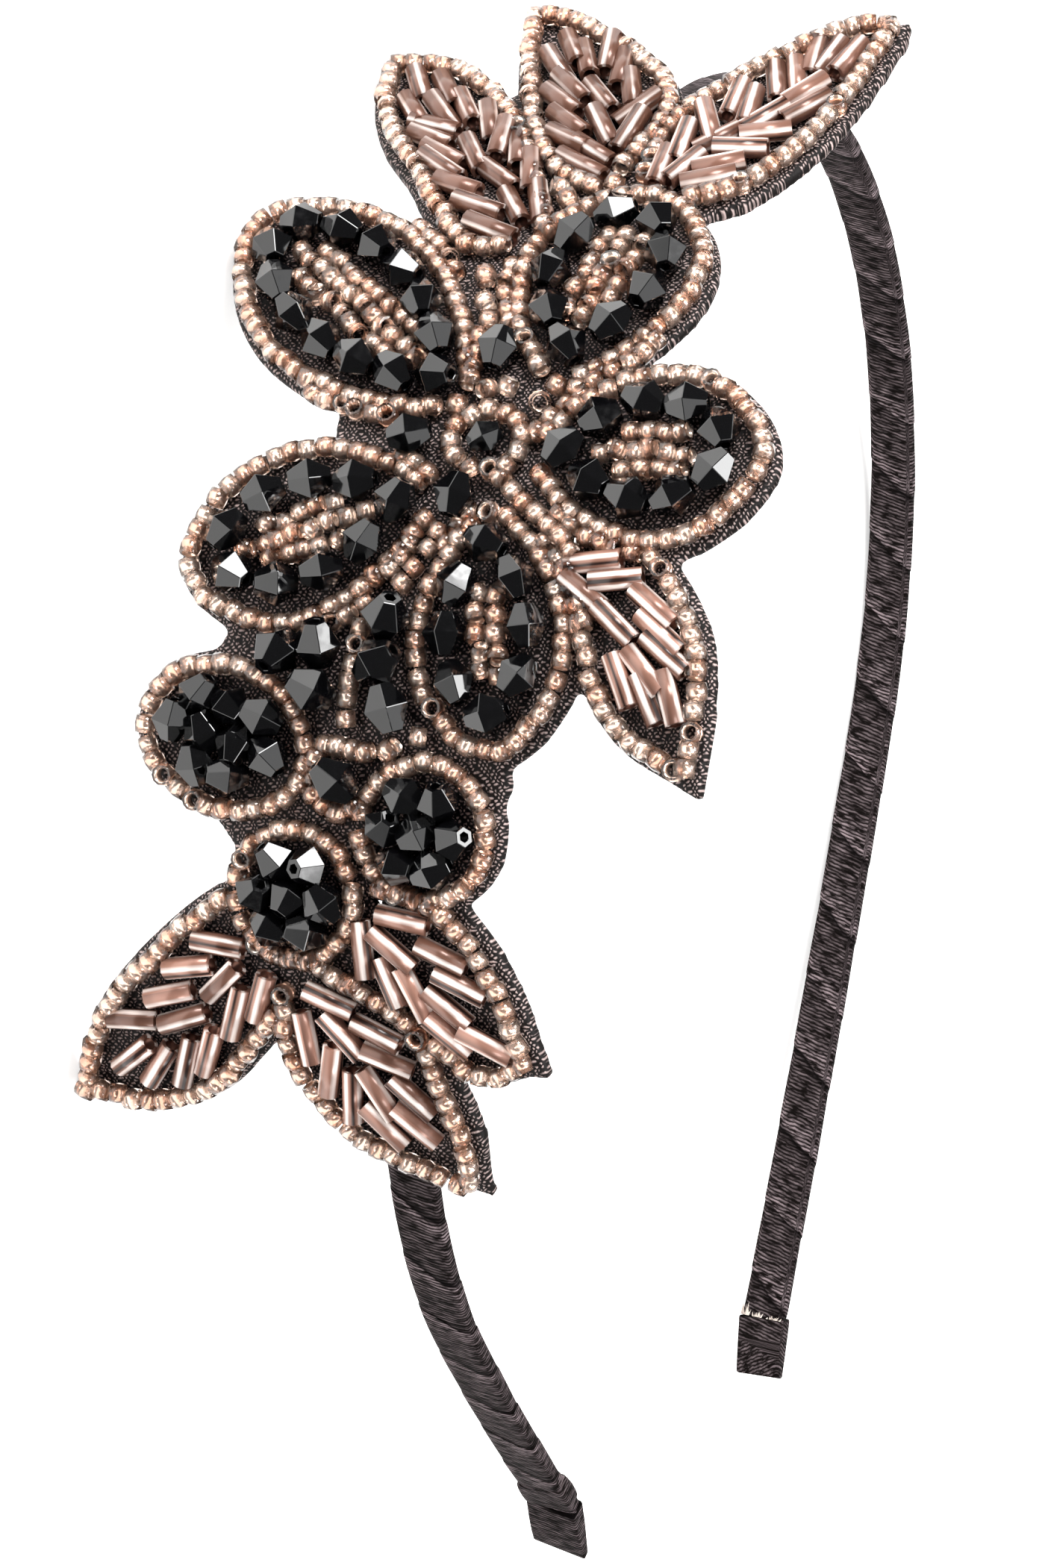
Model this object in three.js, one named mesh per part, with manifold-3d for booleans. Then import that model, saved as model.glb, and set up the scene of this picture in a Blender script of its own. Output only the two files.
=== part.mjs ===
// Flapper headband: a ribbon-wrapped spring band in an open C, with a beaded applique of one flower,
// seven leaves and three berries sewn to the outside of its near leg.
// Millimetres. The pieces are built as worn (X from ear to ear, Z up, apex of the band at the origin)
// and the whole is then laid on its side, where it rests on two edges of the applique and the far leg.
import * as THREE from 'three';
import { mergeVertices } from 'three/addons/utils/BufferGeometryUtils.js';
import { TessellateModifier } from 'three/addons/modifiers/TessellateModifier.js';
import Module from 'manifold-3d';

const wasm = await Module();
wasm.setup();

const GAP = 0.3;
const WELD = 1e-4;

// Band. Each leg leaves the apex level and turns down through two arcs, turns in degrees.
const BAND = { width: 4.9, thickness: 2.1, corner: 0.6, step: 6.6 };
const NEAR_LEG = [{ radius: 70, turn: 130 }, { radius: 440, turn: 6.1 }];
const FAR_LEG = [{ radius: 64, turn: 110 }, { radius: 750, turn: 5.6 }];
const RIBBON_END = { length: 6.4, width: 5.3, thickness: 2.6, corner: 0.7 };
const END_SLANT = { near: 1.0, far: 0.2 };

// Backing sheet. It lies along the near leg and goes on straight above its last touch on the band.
const SHEET = { thickness: 1.6, margin: 1.5, leafPoint: 2.4, lastTouch: 36 };
const BEND = { longestEdge: 9, mostSplits: 14 };
const SHEET_UNDERSIDE = BAND.thickness / 2 + GAP;
const SHEET_TOP = SHEET_UNDERSIDE + SHEET.thickness;

// Beads.
const SEED = { radius: 0.8, sides: 8, step: 4.4, fewestSteps: 7 };
const CRYSTAL = { radius: 1.95, pitch: 4.1, sides: 6 };
const BERRY_CRYSTAL = { radius: 1.6, pitch: 3.4, sides: 6 };
const CRYSTAL_END = { radius: 0.45, halfLength: 0.93 };
const FIELD = { seeds: 2.0, bugles: 1.7, bevel: 0.5 };

// Motifs on the flat sheet. A point is [across the band, down the near leg from the apex].
// The bow moves the middle of a leaf sideways.
const PETALS = [
  { name: 'petal_top_left', root: [2.9, 56.8], tip: [29.8, 40.4], width: 16.8, bow: 0 },
  { name: 'petal_top_right', root: [-5.4, 53.6], tip: [-7.2, 30.6], width: 17.0, bow: 0 },
  { name: 'petal_right', root: [-5.6, 60.8], tip: [-27.4, 57.8], width: 16.2, bow: 0 },
  { name: 'petal_left', root: [2.8, 66.0], tip: [25.0, 75.8], width: 15.6, bow: 0 },
  { name: 'petal_bottom', root: [-3.2, 66.6], tip: [-8.4, 87.6], width: 14.4, bow: 0 },
];
const LEAVES = [
  { name: 'leaf_top_left', root: [5.2, 39.2], tip: [24.4, 16.4], width: 12.6, bow: 0 },
  { name: 'leaf_top_middle', root: [-2.4, 27.6], tip: [12.2, 7.0], width: 11.6, bow: 0 },
  { name: 'leaf_top_right', root: [-9.2, 27.6], tip: [-21.4, 2.6], width: 11.2, bow: 0 },
  { name: 'leaf_side', root: [-13.9, 70.8], tip: [-26.8, 86.6], width: 9.6, bow: 1.4 },
  { name: 'leaf_bottom_left', root: [15.2, 109.4], tip: [32.0, 126.2], width: 13.0, bow: 1.0 },
  { name: 'leaf_bottom_middle', root: [8.4, 110.8], tip: [-7.6, 128.8], width: 11.0, bow: -1.4 },
  { name: 'leaf_bottom_right', root: [2.0, 105.4], tip: [-14.0, 115.2], width: 9.6, bow: 0.3 },
];
// Half widths across and down, a turn in degrees, and how many crystals lie in each row.
const BERRIES = [
  { name: 'berry_left', centre: [18.4, 90.2], half: [8.4, 6.2], turn: -10, rows: [3, 4, 2] },
  { name: 'berry_middle', centre: [9.8, 103.0], half: [6.0, 5.8], turn: 0, rows: [2, 3, 2] },
  { name: 'berry_right', centre: [-2.5, 95.5], half: [6.3, 6.0], turn: 0, rows: [2, 3, 2] },
];
const FLOWER_CENTRE = { middle: [-0.9, 60.2], ring: [3.5, 2.9] };
const STEM_CRYSTALS = [
  { name: 'stem_crystals_left', points: [[14.0, 82.0], [10.1, 80.8], [10.0, 84.8]] },
  { name: 'stem_crystals_middle', points: [[3.9, 77.6], [3.9, 81.6], [2.2, 85.3]] },
  { name: 'stem_crystal_low', points: [[6.4, 92.2]] },
];
const STEM_SEEDS = [
  { name: 'stem_seeds_upper', points: [[6.8, 78.6], [7.1, 82.5], [6.6, 86.8]] },
  { name: 'stem_seeds_lower', points: [[8.2, 89.3], [6.2, 89.5], [4.0, 89.4]] },
];
// Plain patches of backing between the motifs.
const PATCHES = [
  { centre: [-1, 60], half: [12, 11], turn: 0 },
  { centre: [5, 86], half: [12, 12], turn: 0 },
  { centre: [2, 29], half: [12, 9], turn: 0 },
  { centre: [13, 96], half: [6, 5], turn: 0 },
  { centre: [4, 109], half: [11, 6], turn: 0 },
  { centre: [-14, 73], half: [5, 6], turn: 0 },
];

// Outline of a motif: half its width is a sine hump, with its belly nearer the tip or the root.
const PETAL_FORM = { belly: 1.2, fullness: 0.56 };
const LEAF_FORM = { belly: 0.92, fullness: 0.66 };
const LEAF_BACKING_FORM = { belly: 0.92, fullness: 0.8 };
// Outlines drawn with few points where they are small, and packed closer at the tip.
const POINTS = { seedRow: 8, crystalRow: 10, field: 6, petalBacking: 10, leafBacking: 8 };
const OVAL_POINTS = { berryRow: 18, berryBacking: 16, patch: 12, centreRow: 10 };
const TIP_PACKING = 1.6;
// Shares where an open row of seed beads starts (and ends) on its outline.
const ROW_START = 0.05;
const BERRY_ROW = { start: 0.04, end: 1.0 };
const CENTRE_ROW = { start: 0.3, end: 1.12 };

// How it is laid down: the height that parts the applique's two feet, and a first guess of the up direction.
const LYING = { appliqueMiddle: -49, firstUp: new THREE.Vector3(-0.2, -1, 0), rounds: 12 };

const SATIN = { color: 0x16110f, roughness: 0.5, metalness: 0 };
const FELT = { color: 0x1d1715, roughness: 0.85, metalness: 0 };
const ROSE_GLASS = { color: 0xd8a78f, roughness: 0.15, metalness: 0.4 };
const JET_GLASS = { color: 0x0b0b0e, roughness: 0.06, metalness: 0 };

const radians = THREE.MathUtils.degToRad;
const pieces = [];

function addPiece(name, geometry, look) {
  const mesh = new THREE.Mesh(geometry, new THREE.MeshStandardMaterial(look));
  mesh.name = name;
  pieces.push(mesh);
}

// Place on a leg at a distance from the apex.
function alongLeg(arcs, distance) {
  let turn = 0;
  let outwards = 0;
  let down = 0;
  let left = distance;
  for (const arc of arcs) {
    const part = Math.min(left / arc.radius, radians(arc.turn));
    outwards += arc.radius * (Math.sin(turn + part) - Math.sin(turn));
    down += arc.radius * (Math.cos(turn) - Math.cos(turn + part));
    turn += part;
    left -= part * arc.radius;
  }
  return { outwards: outwards + left * Math.cos(turn), down: down + left * Math.sin(turn) };
}

function legLength(arcs) {
  return arcs.reduce((sum, arc) => sum + arc.radius * radians(arc.turn), 0);
}

const NEAR_LENGTH = legLength(NEAR_LEG);
const FAR_LENGTH = legLength(FAR_LEG);

// Centre line of the band, from a distance down the near leg (negative) to one down the far leg.
class BandLine extends THREE.Curve {
  constructor(start, end) {
    super();
    this.start = start;
    this.end = end;
  }

  getPoint(share) {
    const distance = THREE.MathUtils.lerp(this.start, this.end, share);
    const near = distance < 0;
    const place = alongLeg(near ? NEAR_LEG : FAR_LEG, Math.abs(distance));
    return new THREE.Vector3(near ? -place.outwards : place.outwards, 0, -place.down);
  }
}

function slabSection({ width, thickness, corner }) {
  const x = width / 2;
  const y = thickness / 2;
  const shape = new THREE.Shape();
  shape.moveTo(x, y - corner);
  shape.lineTo(x - corner, y);
  shape.lineTo(corner - x, y);
  shape.lineTo(-x, y - corner);
  shape.lineTo(-x, corner - y);
  shape.lineTo(corner - x, -y);
  shape.lineTo(x - corner, -y);
  shape.lineTo(x, corner - y);
  return shape;
}

// Merge the shared corners of a closed geometry and turn its faces outwards.
function closed(geometry) {
  const bare = geometry.clone();
  bare.deleteAttribute('normal');
  bare.deleteAttribute('uv');
  const merged = mergeVertices(bare, WELD);
  const order = merged.index.array;
  const corner = (i) => new THREE.Vector3().fromBufferAttribute(merged.attributes.position, order[i]);
  let volume = 0;
  for (let i = 0; i < order.length; i += 3) {
    volume += corner(i).dot(corner(i + 1).cross(corner(i + 2)));
  }
  if (volume < 0) {
    order.reverse();
  }
  merged.computeVertexNormals();
  return merged;
}

function sweep(section, path, step) {
  const steps = Math.max(2, Math.round(path.getLength() / step));
  const options = { extrudePath: path, steps, bevelEnabled: false };
  return closed(new THREE.ExtrudeGeometry(section, options));
}

// The folded ribbon at the end of a leg: a short block in two steps, its last face cut at a slant.
function ribbonEnd(path, slant) {
  const step = RIBBON_END.length / 2;
  const geometry = sweep(slabSection(RIBBON_END), path, step);
  const position = geometry.attributes.position;
  const last = path.getPoint(1);
  const heading = path.getTangent(1);
  for (let i = 0; i < position.count; i += 1) {
    const place = new THREE.Vector3().fromBufferAttribute(position, i);
    const onLastFace = Math.abs(place.clone().sub(last).dot(heading)) < step / 2;
    if (onLastFace) {
      place.addScaledVector(heading, (-slant * place.y) / RIBBON_END.width);
      position.setXYZ(i, place.x, place.y, place.z);
    }
  }
  geometry.computeVertexNormals();
  return geometry;
}

const sheetAngle = (down) => Math.max(down, SHEET.lastTouch) / NEAR_LEG[0].radius;

function sheetNormal(down) {
  const angle = sheetAngle(down);
  return new THREE.Vector3(-Math.sin(angle), 0, Math.cos(angle));
}

// A point of the flat sheet, at a height over the band's centre line, bent round the near leg.
function onSheet(across, down, height) {
  const angle = sheetAngle(down);
  const past = Math.min(0, down - SHEET.lastTouch);
  const radius = NEAR_LEG[0].radius;
  const place = new THREE.Vector3(0, across, -radius);
  place.addScaledVector(sheetNormal(down), radius + height);
  place.x -= past * Math.cos(angle);
  place.z -= past * Math.sin(angle);
  return place;
}

function bend(flat) {
  const geometry = new TessellateModifier(BEND.longestEdge, BEND.mostSplits).modify(flat);
  const position = geometry.attributes.position;
  for (let i = 0; i < position.count; i += 1) {
    const place = onSheet(position.getX(i), position.getY(i), position.getZ(i));
    position.setXYZ(i, place.x, place.y, place.z);
  }
  return closed(geometry);
}

// One side of a motif's outline at a share of its length, on the side given by the sign.
function motifEdge(motif, form, share, side) {
  const root = new THREE.Vector2(...motif.root);
  const axis = new THREE.Vector2(...motif.tip).sub(root);
  const sideways = new THREE.Vector2(-axis.y, axis.x).normalize();
  const hump = Math.max(0, Math.sin(Math.PI * share ** form.belly)) ** form.fullness;
  const offset = motif.bow * 4 * share * (1 - share) + (side * hump * motif.width) / 2;
  return root.addScaledVector(axis, share).addScaledVector(sideways, offset);
}

// Outline from the root round the tip and back.
function motifOutline(motif, form, points, start = 0) {
  const outline = [];
  for (let i = -points; i <= points; i += 1) {
    const fromTip = (Math.abs(i) / points) ** TIP_PACKING;
    const share = THREE.MathUtils.lerp(1, start, fromTip);
    outline.push(motifEdge(motif, form, share, i < 0 ? 1 : -1));
  }
  return outline;
}

// The same motif grown (or shrunk) by a margin all round.
function grown(motif, margin, tipMargin = margin, rootMargin = margin) {
  const root = new THREE.Vector2(...motif.root);
  const tip = new THREE.Vector2(...motif.tip);
  const heading = tip.clone().sub(root).normalize();
  root.addScaledVector(heading, -rootMargin);
  tip.addScaledVector(heading, tipMargin);
  return { ...motif, root: root.toArray(), tip: tip.toArray(), width: motif.width + 2 * margin };
}

function ovalOutline({ centre, half, turn }, margin, points, shares = { start: 0, end: 1 }) {
  const middle = new THREE.Vector2(...centre);
  return Array.from({ length: points }, (_, i) => {
    const angle = 2 * Math.PI * THREE.MathUtils.lerp(shares.start, shares.end, i / points);
    const place = new THREE.Vector2((half[0] + margin) * Math.cos(angle), (half[1] + margin) * Math.sin(angle));
    return place.rotateAround(new THREE.Vector2(), radians(turn)).add(middle);
  });
}

function flatSlab(outline, bottom, thickness, bevel) {
  const options = { depth: thickness - 2 * bevel, bevelEnabled: bevel > 0, bevelSegments: 1 };
  Object.assign(options, { bevelThickness: bevel, bevelSize: bevel, bevelOffset: -bevel });
  const geometry = new THREE.ExtrudeGeometry(new THREE.Shape(outline), options);
  return geometry.translate(0, 0, bottom + bevel);
}

function manifoldOf(geometry) {
  const whole = closed(geometry);
  const vertProperties = new Float32Array(whole.attributes.position.array);
  const triVerts = new Uint32Array(whole.index.array);
  return new wasm.Manifold(new wasm.Mesh({ numProp: 3, vertProperties, triVerts }));
}

function geometryOf(manifold) {
  const { vertProperties, triVerts } = manifold.getMesh();
  const geometry = new THREE.BufferGeometry();
  geometry.setAttribute('position', new THREE.BufferAttribute(vertProperties, 3));
  geometry.setIndex(new THREE.BufferAttribute(triVerts, 1));
  return geometry;
}

// A row of seed beads, as the tube that it fills.
function seedRow(name, flatPoints) {
  const height = SHEET_TOP + GAP + SEED.radius;
  const places = flatPoints.map((point) => onSheet(point.x, point.y, height));
  const path = new THREE.CatmullRomCurve3(places, false, 'centripetal');
  const section = new THREE.Shape();
  for (let i = 0; i < SEED.sides; i += 1) {
    const angle = (2 * Math.PI * (i + 0.5)) / SEED.sides;
    const place = [SEED.radius * Math.cos(angle), SEED.radius * Math.sin(angle)];
    if (i === 0) {
      section.moveTo(...place);
    } else {
      section.lineTo(...place);
    }
  }
  const step = Math.min(SEED.step, path.getLength() / SEED.fewestSteps);
  addPiece(name, sweep(section, path, step), ROSE_GLASS);
}

// A string of faceted bicone crystals: two cones and two flat ends each, joined at their ends.
function crystalString(name, flatPoints, bead) {
  const height = SHEET_TOP + GAP + bead.radius;
  const centres = flatPoints.map((point) => onSheet(point.x, point.y, height));
  const half = bead.radius * CRYSTAL_END.halfLength;
  const endRadius = bead.radius * CRYSTAL_END.radius;
  const rings = [];
  centres.forEach((centre, i) => {
    const before = centres[Math.max(0, i - 1)];
    const after = centres[Math.min(centres.length - 1, i + 1)];
    const axis = after.clone().sub(before);
    if (centres.length === 1) {
      axis.set(0, 1, 0);
    }
    axis.normalize();
    const sideways = axis.clone().cross(sheetNormal(flatPoints[i].y)).normalize();
    const upwards = sideways.clone().cross(axis);
    for (const [along, radius] of [[-half, endRadius], [0, bead.radius], [half, endRadius]]) {
      const ring = [];
      for (let k = 0; k < bead.sides; k += 1) {
        const angle = (2 * Math.PI * k) / bead.sides;
        const place = centre.clone().addScaledVector(axis, along);
        place.addScaledVector(sideways, radius * Math.cos(angle));
        ring.push(place.addScaledVector(upwards, radius * Math.sin(angle)));
      }
      rings.push(ring);
    }
  });
  addPiece(name, loft(rings), JET_GLASS);
}

// Skin through rings of equal count, with flat ends.
function loft(rings) {
  const sides = rings[0].length;
  const order = [];
  for (let r = 0; r + 1 < rings.length; r += 1) {
    for (let k = 0; k < sides; k += 1) {
      const a = r * sides + k;
      const b = r * sides + ((k + 1) % sides);
      order.push(a, b, b + sides, a, b + sides, a + sides);
    }
  }
  const last = (rings.length - 1) * sides;
  for (let k = 1; k + 1 < sides; k += 1) {
    order.push(0, k + 1, k, last, last + k, last + k + 1);
  }
  const geometry = new THREE.BufferGeometry().setFromPoints(rings.flat());
  geometry.setIndex(order);
  return closed(geometry);
}

// Evenly spaced points along an outline, its start and its end included.
function spaced(outline, pitch) {
  const path = new THREE.CatmullRomCurve3(outline.map((p) => new THREE.Vector3(p.x, p.y, 0)));
  return path.getSpacedPoints(Math.round(path.getLength() / pitch));
}

function field(name, outline, thickness) {
  addPiece(name, bend(flatSlab(outline, SHEET_TOP + GAP, thickness, FIELD.bevel)), ROSE_GLASS);
}

function addBand() {
  const bandLine = new BandLine(RIBBON_END.length + GAP - NEAR_LENGTH, FAR_LENGTH - RIBBON_END.length - GAP);
  addPiece('ribbon_band', sweep(slabSection(BAND), bandLine, BAND.step), SATIN);
  const nearEnd = new BandLine(RIBBON_END.length - NEAR_LENGTH, -NEAR_LENGTH);
  addPiece('near_end_ribbon', ribbonEnd(nearEnd, END_SLANT.near), SATIN);
  const farEnd = new BandLine(FAR_LENGTH - RIBBON_END.length, FAR_LENGTH);
  addPiece('far_end_ribbon', ribbonEnd(farEnd, END_SLANT.far), SATIN);
}

function addBacking() {
  const outlines = [
    ...PETALS.map((petal) => motifOutline(grown(petal, SHEET.margin), PETAL_FORM, POINTS.petalBacking)),
    ...LEAVES.map((leaf) => {
      return motifOutline(grown(leaf, SHEET.margin, SHEET.leafPoint), LEAF_BACKING_FORM, POINTS.leafBacking);
    }),
    ...BERRIES.map((berry) => ovalOutline(berry, SHEET.margin, OVAL_POINTS.berryBacking)),
    ...PATCHES.map((patch) => ovalOutline(patch, 0, OVAL_POINTS.patch)),
  ];
  const slabs = outlines.map((outline) => manifoldOf(flatSlab(outline, SHEET_UNDERSIDE, SHEET.thickness, 0)));
  const whole = slabs.reduce((sum, slab) => sum.add(slab));
  addPiece('backing', bend(geometryOf(whole)), FELT);
}

const CRYSTAL_INSET = SEED.radius + GAP + CRYSTAL.radius;
const SEED_FIELD_INSET = CRYSTAL_INSET + CRYSTAL.radius + GAP;
const BUGLE_FIELD_INSET = SEED.radius + GAP;

function addPetal(petal) {
  seedRow(`${petal.name}_outline`, motifOutline(petal, PETAL_FORM, POINTS.seedRow, ROW_START));
  const crystalLine = motifOutline(grown(petal, -CRYSTAL_INSET), PETAL_FORM, POINTS.crystalRow);
  crystalString(`${petal.name}_crystals`, spaced(crystalLine, CRYSTAL.pitch).slice(0, -1), CRYSTAL);
  const fieldOutline = motifOutline(grown(petal, -SEED_FIELD_INSET), PETAL_FORM, POINTS.field);
  field(`${petal.name}_seeds`, fieldOutline, FIELD.seeds);
}

function addLeaf(leaf) {
  seedRow(`${leaf.name}_outline`, motifOutline(leaf, LEAF_FORM, POINTS.seedRow, ROW_START));
  const inner = grown(leaf, -BUGLE_FIELD_INSET, -2 * BUGLE_FIELD_INSET);
  field(`${leaf.name}_bugles`, motifOutline(inner, LEAF_FORM, POINTS.field), FIELD.bugles);
}

// Crystals of a berry lie in close rows, strung to and fro.
function berryPoints(berry) {
  const rowPitch = BERRY_CRYSTAL.pitch * Math.sin(radians(60));
  const middle = new THREE.Vector2(...berry.centre);
  const points = [];
  berry.rows.forEach((count, row) => {
    const sense = row % 2 === 0 ? 1 : -1;
    for (let i = 0; i < count; i += 1) {
      const across = sense * (i - (count - 1) / 2) * BERRY_CRYSTAL.pitch;
      const down = (row - (berry.rows.length - 1) / 2) * rowPitch;
      const place = new THREE.Vector2(across, down).rotateAround(new THREE.Vector2(), radians(berry.turn));
      points.push(place.add(middle));
    }
  });
  return points;
}

function addBerry(berry) {
  seedRow(`${berry.name}_outline`, ovalOutline(berry, 0, OVAL_POINTS.berryRow, BERRY_ROW));
  crystalString(`${berry.name}_crystals`, berryPoints(berry), BERRY_CRYSTAL);
}

function addFlowerCentre() {
  const [across, down] = FLOWER_CENTRE.middle;
  const oval = { centre: FLOWER_CENTRE.middle, half: FLOWER_CENTRE.ring, turn: 0 };
  seedRow('flower_centre_outline', ovalOutline(oval, 0, OVAL_POINTS.centreRow, CENTRE_ROW));
  crystalString('flower_centre_crystal', [new THREE.Vector2(across, down)], BERRY_CRYSTAL);
}

function addStems() {
  for (const { name, points } of STEM_CRYSTALS) {
    crystalString(name, points.map((point) => new THREE.Vector2(...point)), BERRY_CRYSTAL);
  }
  for (const { name, points } of STEM_SEEDS) {
    seedRow(name, points.map((point) => new THREE.Vector2(...point)));
  }
}

// Lay the worn group on its side. It touches down on the upper and the lower half of the applique
// and on the far leg, so the plane through the lowest point of each is the ground.
function layOnSide(group) {
  const places = [];
  for (const mesh of group.children) {
    const position = mesh.geometry.attributes.position;
    for (let i = 0; i < position.count; i += 1) {
      places.push(new THREE.Vector3().fromBufferAttribute(position, i));
    }
  }
  const feet = [
    places.filter((place) => place.x < 0 && place.z > LYING.appliqueMiddle),
    places.filter((place) => place.x < 0 && place.z <= LYING.appliqueMiddle),
    places.filter((place) => place.x > 0),
  ];
  const up = LYING.firstUp.clone();
  const lowest = (foot) => foot.reduce((best, place) => (place.dot(up) < best.dot(up) ? place : best));
  for (let round = 0; round < LYING.rounds; round += 1) {
    const [a, b, c] = feet.map(lowest);
    const normal = b.clone().sub(a).cross(c.clone().sub(a)).normalize();
    up.copy(normal.dot(up) < 0 ? normal.negate() : normal);
  }
  const right = new THREE.Vector3(1, 0, 0).addScaledVector(up, -up.x).normalize();
  const ahead = up.clone().cross(right);
  const turn = new THREE.Matrix4().makeBasis(right, ahead, up).transpose();
  group.quaternion.setFromRotationMatrix(turn);
  group.updateMatrixWorld(true);
  const box = new THREE.Box3().setFromObject(group, true);
  const centre = box.getCenter(new THREE.Vector3());
  group.position.set(-centre.x, -centre.y, -box.min.z);
}

addBand();
addBacking();
PETALS.forEach(addPetal);
LEAVES.forEach(addLeaf);
BERRIES.forEach(addBerry);
addFlowerCentre();
addStems();

const worn = new THREE.Group();
worn.add(...pieces);
layOnSide(worn);

const headband = new THREE.Group();
headband.add(worn);

export default headband;
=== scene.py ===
# %% [markdown]
# # A beaded flapper headband
# A slim sprung band, wound with black satin ribbon, carries a beaded flower with leaves and berries
# on one side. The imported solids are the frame: they say where every piece lies, and this script puts
# the ribbon, the cloth and nearly nine hundred beads in their places.

import math

import bpy
import numpy as np
from mathutils import Matrix, Vector


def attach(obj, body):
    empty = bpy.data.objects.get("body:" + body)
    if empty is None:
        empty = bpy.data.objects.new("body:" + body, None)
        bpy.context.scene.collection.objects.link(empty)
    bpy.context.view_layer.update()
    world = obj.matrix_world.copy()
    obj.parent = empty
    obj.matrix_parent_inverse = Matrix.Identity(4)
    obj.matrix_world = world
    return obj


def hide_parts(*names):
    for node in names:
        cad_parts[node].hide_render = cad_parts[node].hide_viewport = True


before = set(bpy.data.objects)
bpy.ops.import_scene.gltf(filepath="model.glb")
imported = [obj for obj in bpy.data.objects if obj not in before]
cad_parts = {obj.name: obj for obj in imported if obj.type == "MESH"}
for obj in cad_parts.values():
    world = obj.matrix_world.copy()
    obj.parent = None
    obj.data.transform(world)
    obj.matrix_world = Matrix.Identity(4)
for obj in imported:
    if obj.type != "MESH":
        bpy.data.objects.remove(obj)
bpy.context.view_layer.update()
rng = np.random.default_rng(1925)
print("solids in the frame:", len(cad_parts))

# %% [markdown]
# ## The worn frame
# The headband lies on its side, so its own directions are turned against the floor. Everything here is
# easier to think of as worn: X from ear to ear, Z up, and the top of the band at zero. The turned
# directions could be typed in, but they are safer read back from the band itself: the thinnest direction
# of its points is the worn Y, and its highest and widest points give the top of the band.

# %% Find the worn directions in the frame
MM = 0.001
BAND = {"width": 4.9, "thickness": 2.1}
NEAR_LEG = [{"radius": 70.0, "turn": 130.0}, {"radius": 440.0, "turn": 6.1}]
FAR_LEG = [{"radius": 64.0, "turn": 110.0}, {"radius": 750.0, "turn": 5.6}]

band_places = np.array([vertex.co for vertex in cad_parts["ribbon_band"].data.vertices]) / MM
band_places = np.unique(band_places.round(3), axis=0)
flat_way = np.linalg.svd(band_places - band_places.mean(axis=0), full_matrices=False)[2][2]
worn_y = -flat_way * np.sign(flat_way[2])
worn_x = np.array([-worn_y[2], 0.0, worn_y[0]]) / math.hypot(worn_y[0], worn_y[2])
WORN_AXES = np.stack([worn_x, worn_y, np.cross(worn_x, worn_y)])

seen_worn = band_places @ WORN_AXES.T
APEX = np.array([
    seen_worn[:, 0].min() + NEAR_LEG[0]["radius"] + BAND["thickness"] / 2,
    (seen_worn[:, 1].min() + seen_worn[:, 1].max()) / 2,
    seen_worn[:, 2].max() - BAND["thickness"] / 2,
])


def to_frame(worn_places):
    """Worn millimetres to metres in the shared frame."""
    return (np.asarray(worn_places) + APEX) @ WORN_AXES * MM


print("top of the band in the frame:", to_frame(np.zeros(3)).round(4))

# %% [markdown]
# ## Working by hand, in code
# An operator acts on whatever is selected, and loading leaves the solids selected. So each piece starts
# with nothing selected, and it ends by saying which solids it stands for.

# %% First and last step of every piece
def start_fresh():
    if bpy.context.object and bpy.context.object.mode != "OBJECT":
        bpy.ops.object.mode_set(mode="OBJECT")
    bpy.ops.object.select_all(action="DESELECT")


def places_of(mesh):
    """Vertex places of a mesh, in millimetres."""
    places = np.empty(len(mesh.vertices) * 3)
    mesh.vertices.foreach_get("co", places)
    return places.reshape(-1, 3) / MM


def hand_in(piece, node_names, finishes):
    """Dress a finished piece, and let it stand for its solids."""
    piece.data.materials.clear()
    for finish in finishes:
        piece.data.materials.append(finish)
    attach(piece, "root")
    if node_names:
        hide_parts(*node_names)
    print(piece.name, "faces:", len(piece.data.polygons))


start_fresh()
print("selected to start with:", len(bpy.context.selected_objects))

# %% [markdown]
# ## Camera
# A product photo is taken from far away with a long lens, so the legs of the band hardly converge. The
# camera stands where the photograph's camera stood, seen from the worn headband, and it is aimed so that
# the middle of the frame is the middle of the photograph. Turning it by hand would do as well, but the
# angles below say what they are.

# %% Camera at the photograph's angle
VIEW = {"turn": 20.8, "rise": 18.1, "roll": 2.4, "distance": 600.0}
TARGET = np.array([0.0, 0.0, -60.0])
PHOTO = {"width": 1400, "height": 2101, "pixels_per_mm": 12.96}
TARGET_PIXEL = (917.0, 891.0)
SENSOR_MM = 36.0

turn, rise, roll = (math.radians(VIEW[name]) for name in ("turn", "rise", "roll"))
backwards = np.array([
    -math.cos(turn) * math.cos(rise),
    -math.sin(turn) * math.cos(rise),
    math.sin(rise),
])
level = np.cross(-backwards, [0.0, 0.0, 1.0])
level /= np.linalg.norm(level)
upright = np.cross(level, -backwards)
image_right = math.cos(roll) * level + math.sin(roll) * upright
image_up = math.cos(roll) * upright - math.sin(roll) * level
focal_pixels = PHOTO["pixels_per_mm"] * VIEW["distance"]
aim = -backwards
aim = aim + image_right * (PHOTO["width"] / 2 - TARGET_PIXEL[0]) / focal_pixels
aim = aim - image_up * (PHOTO["height"] / 2 - TARGET_PIXEL[1]) / focal_pixels
aim /= np.linalg.norm(aim)
camera_right = np.cross(aim, image_up)
camera_right /= np.linalg.norm(camera_right)
camera_up = np.cross(camera_right, aim)

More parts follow.
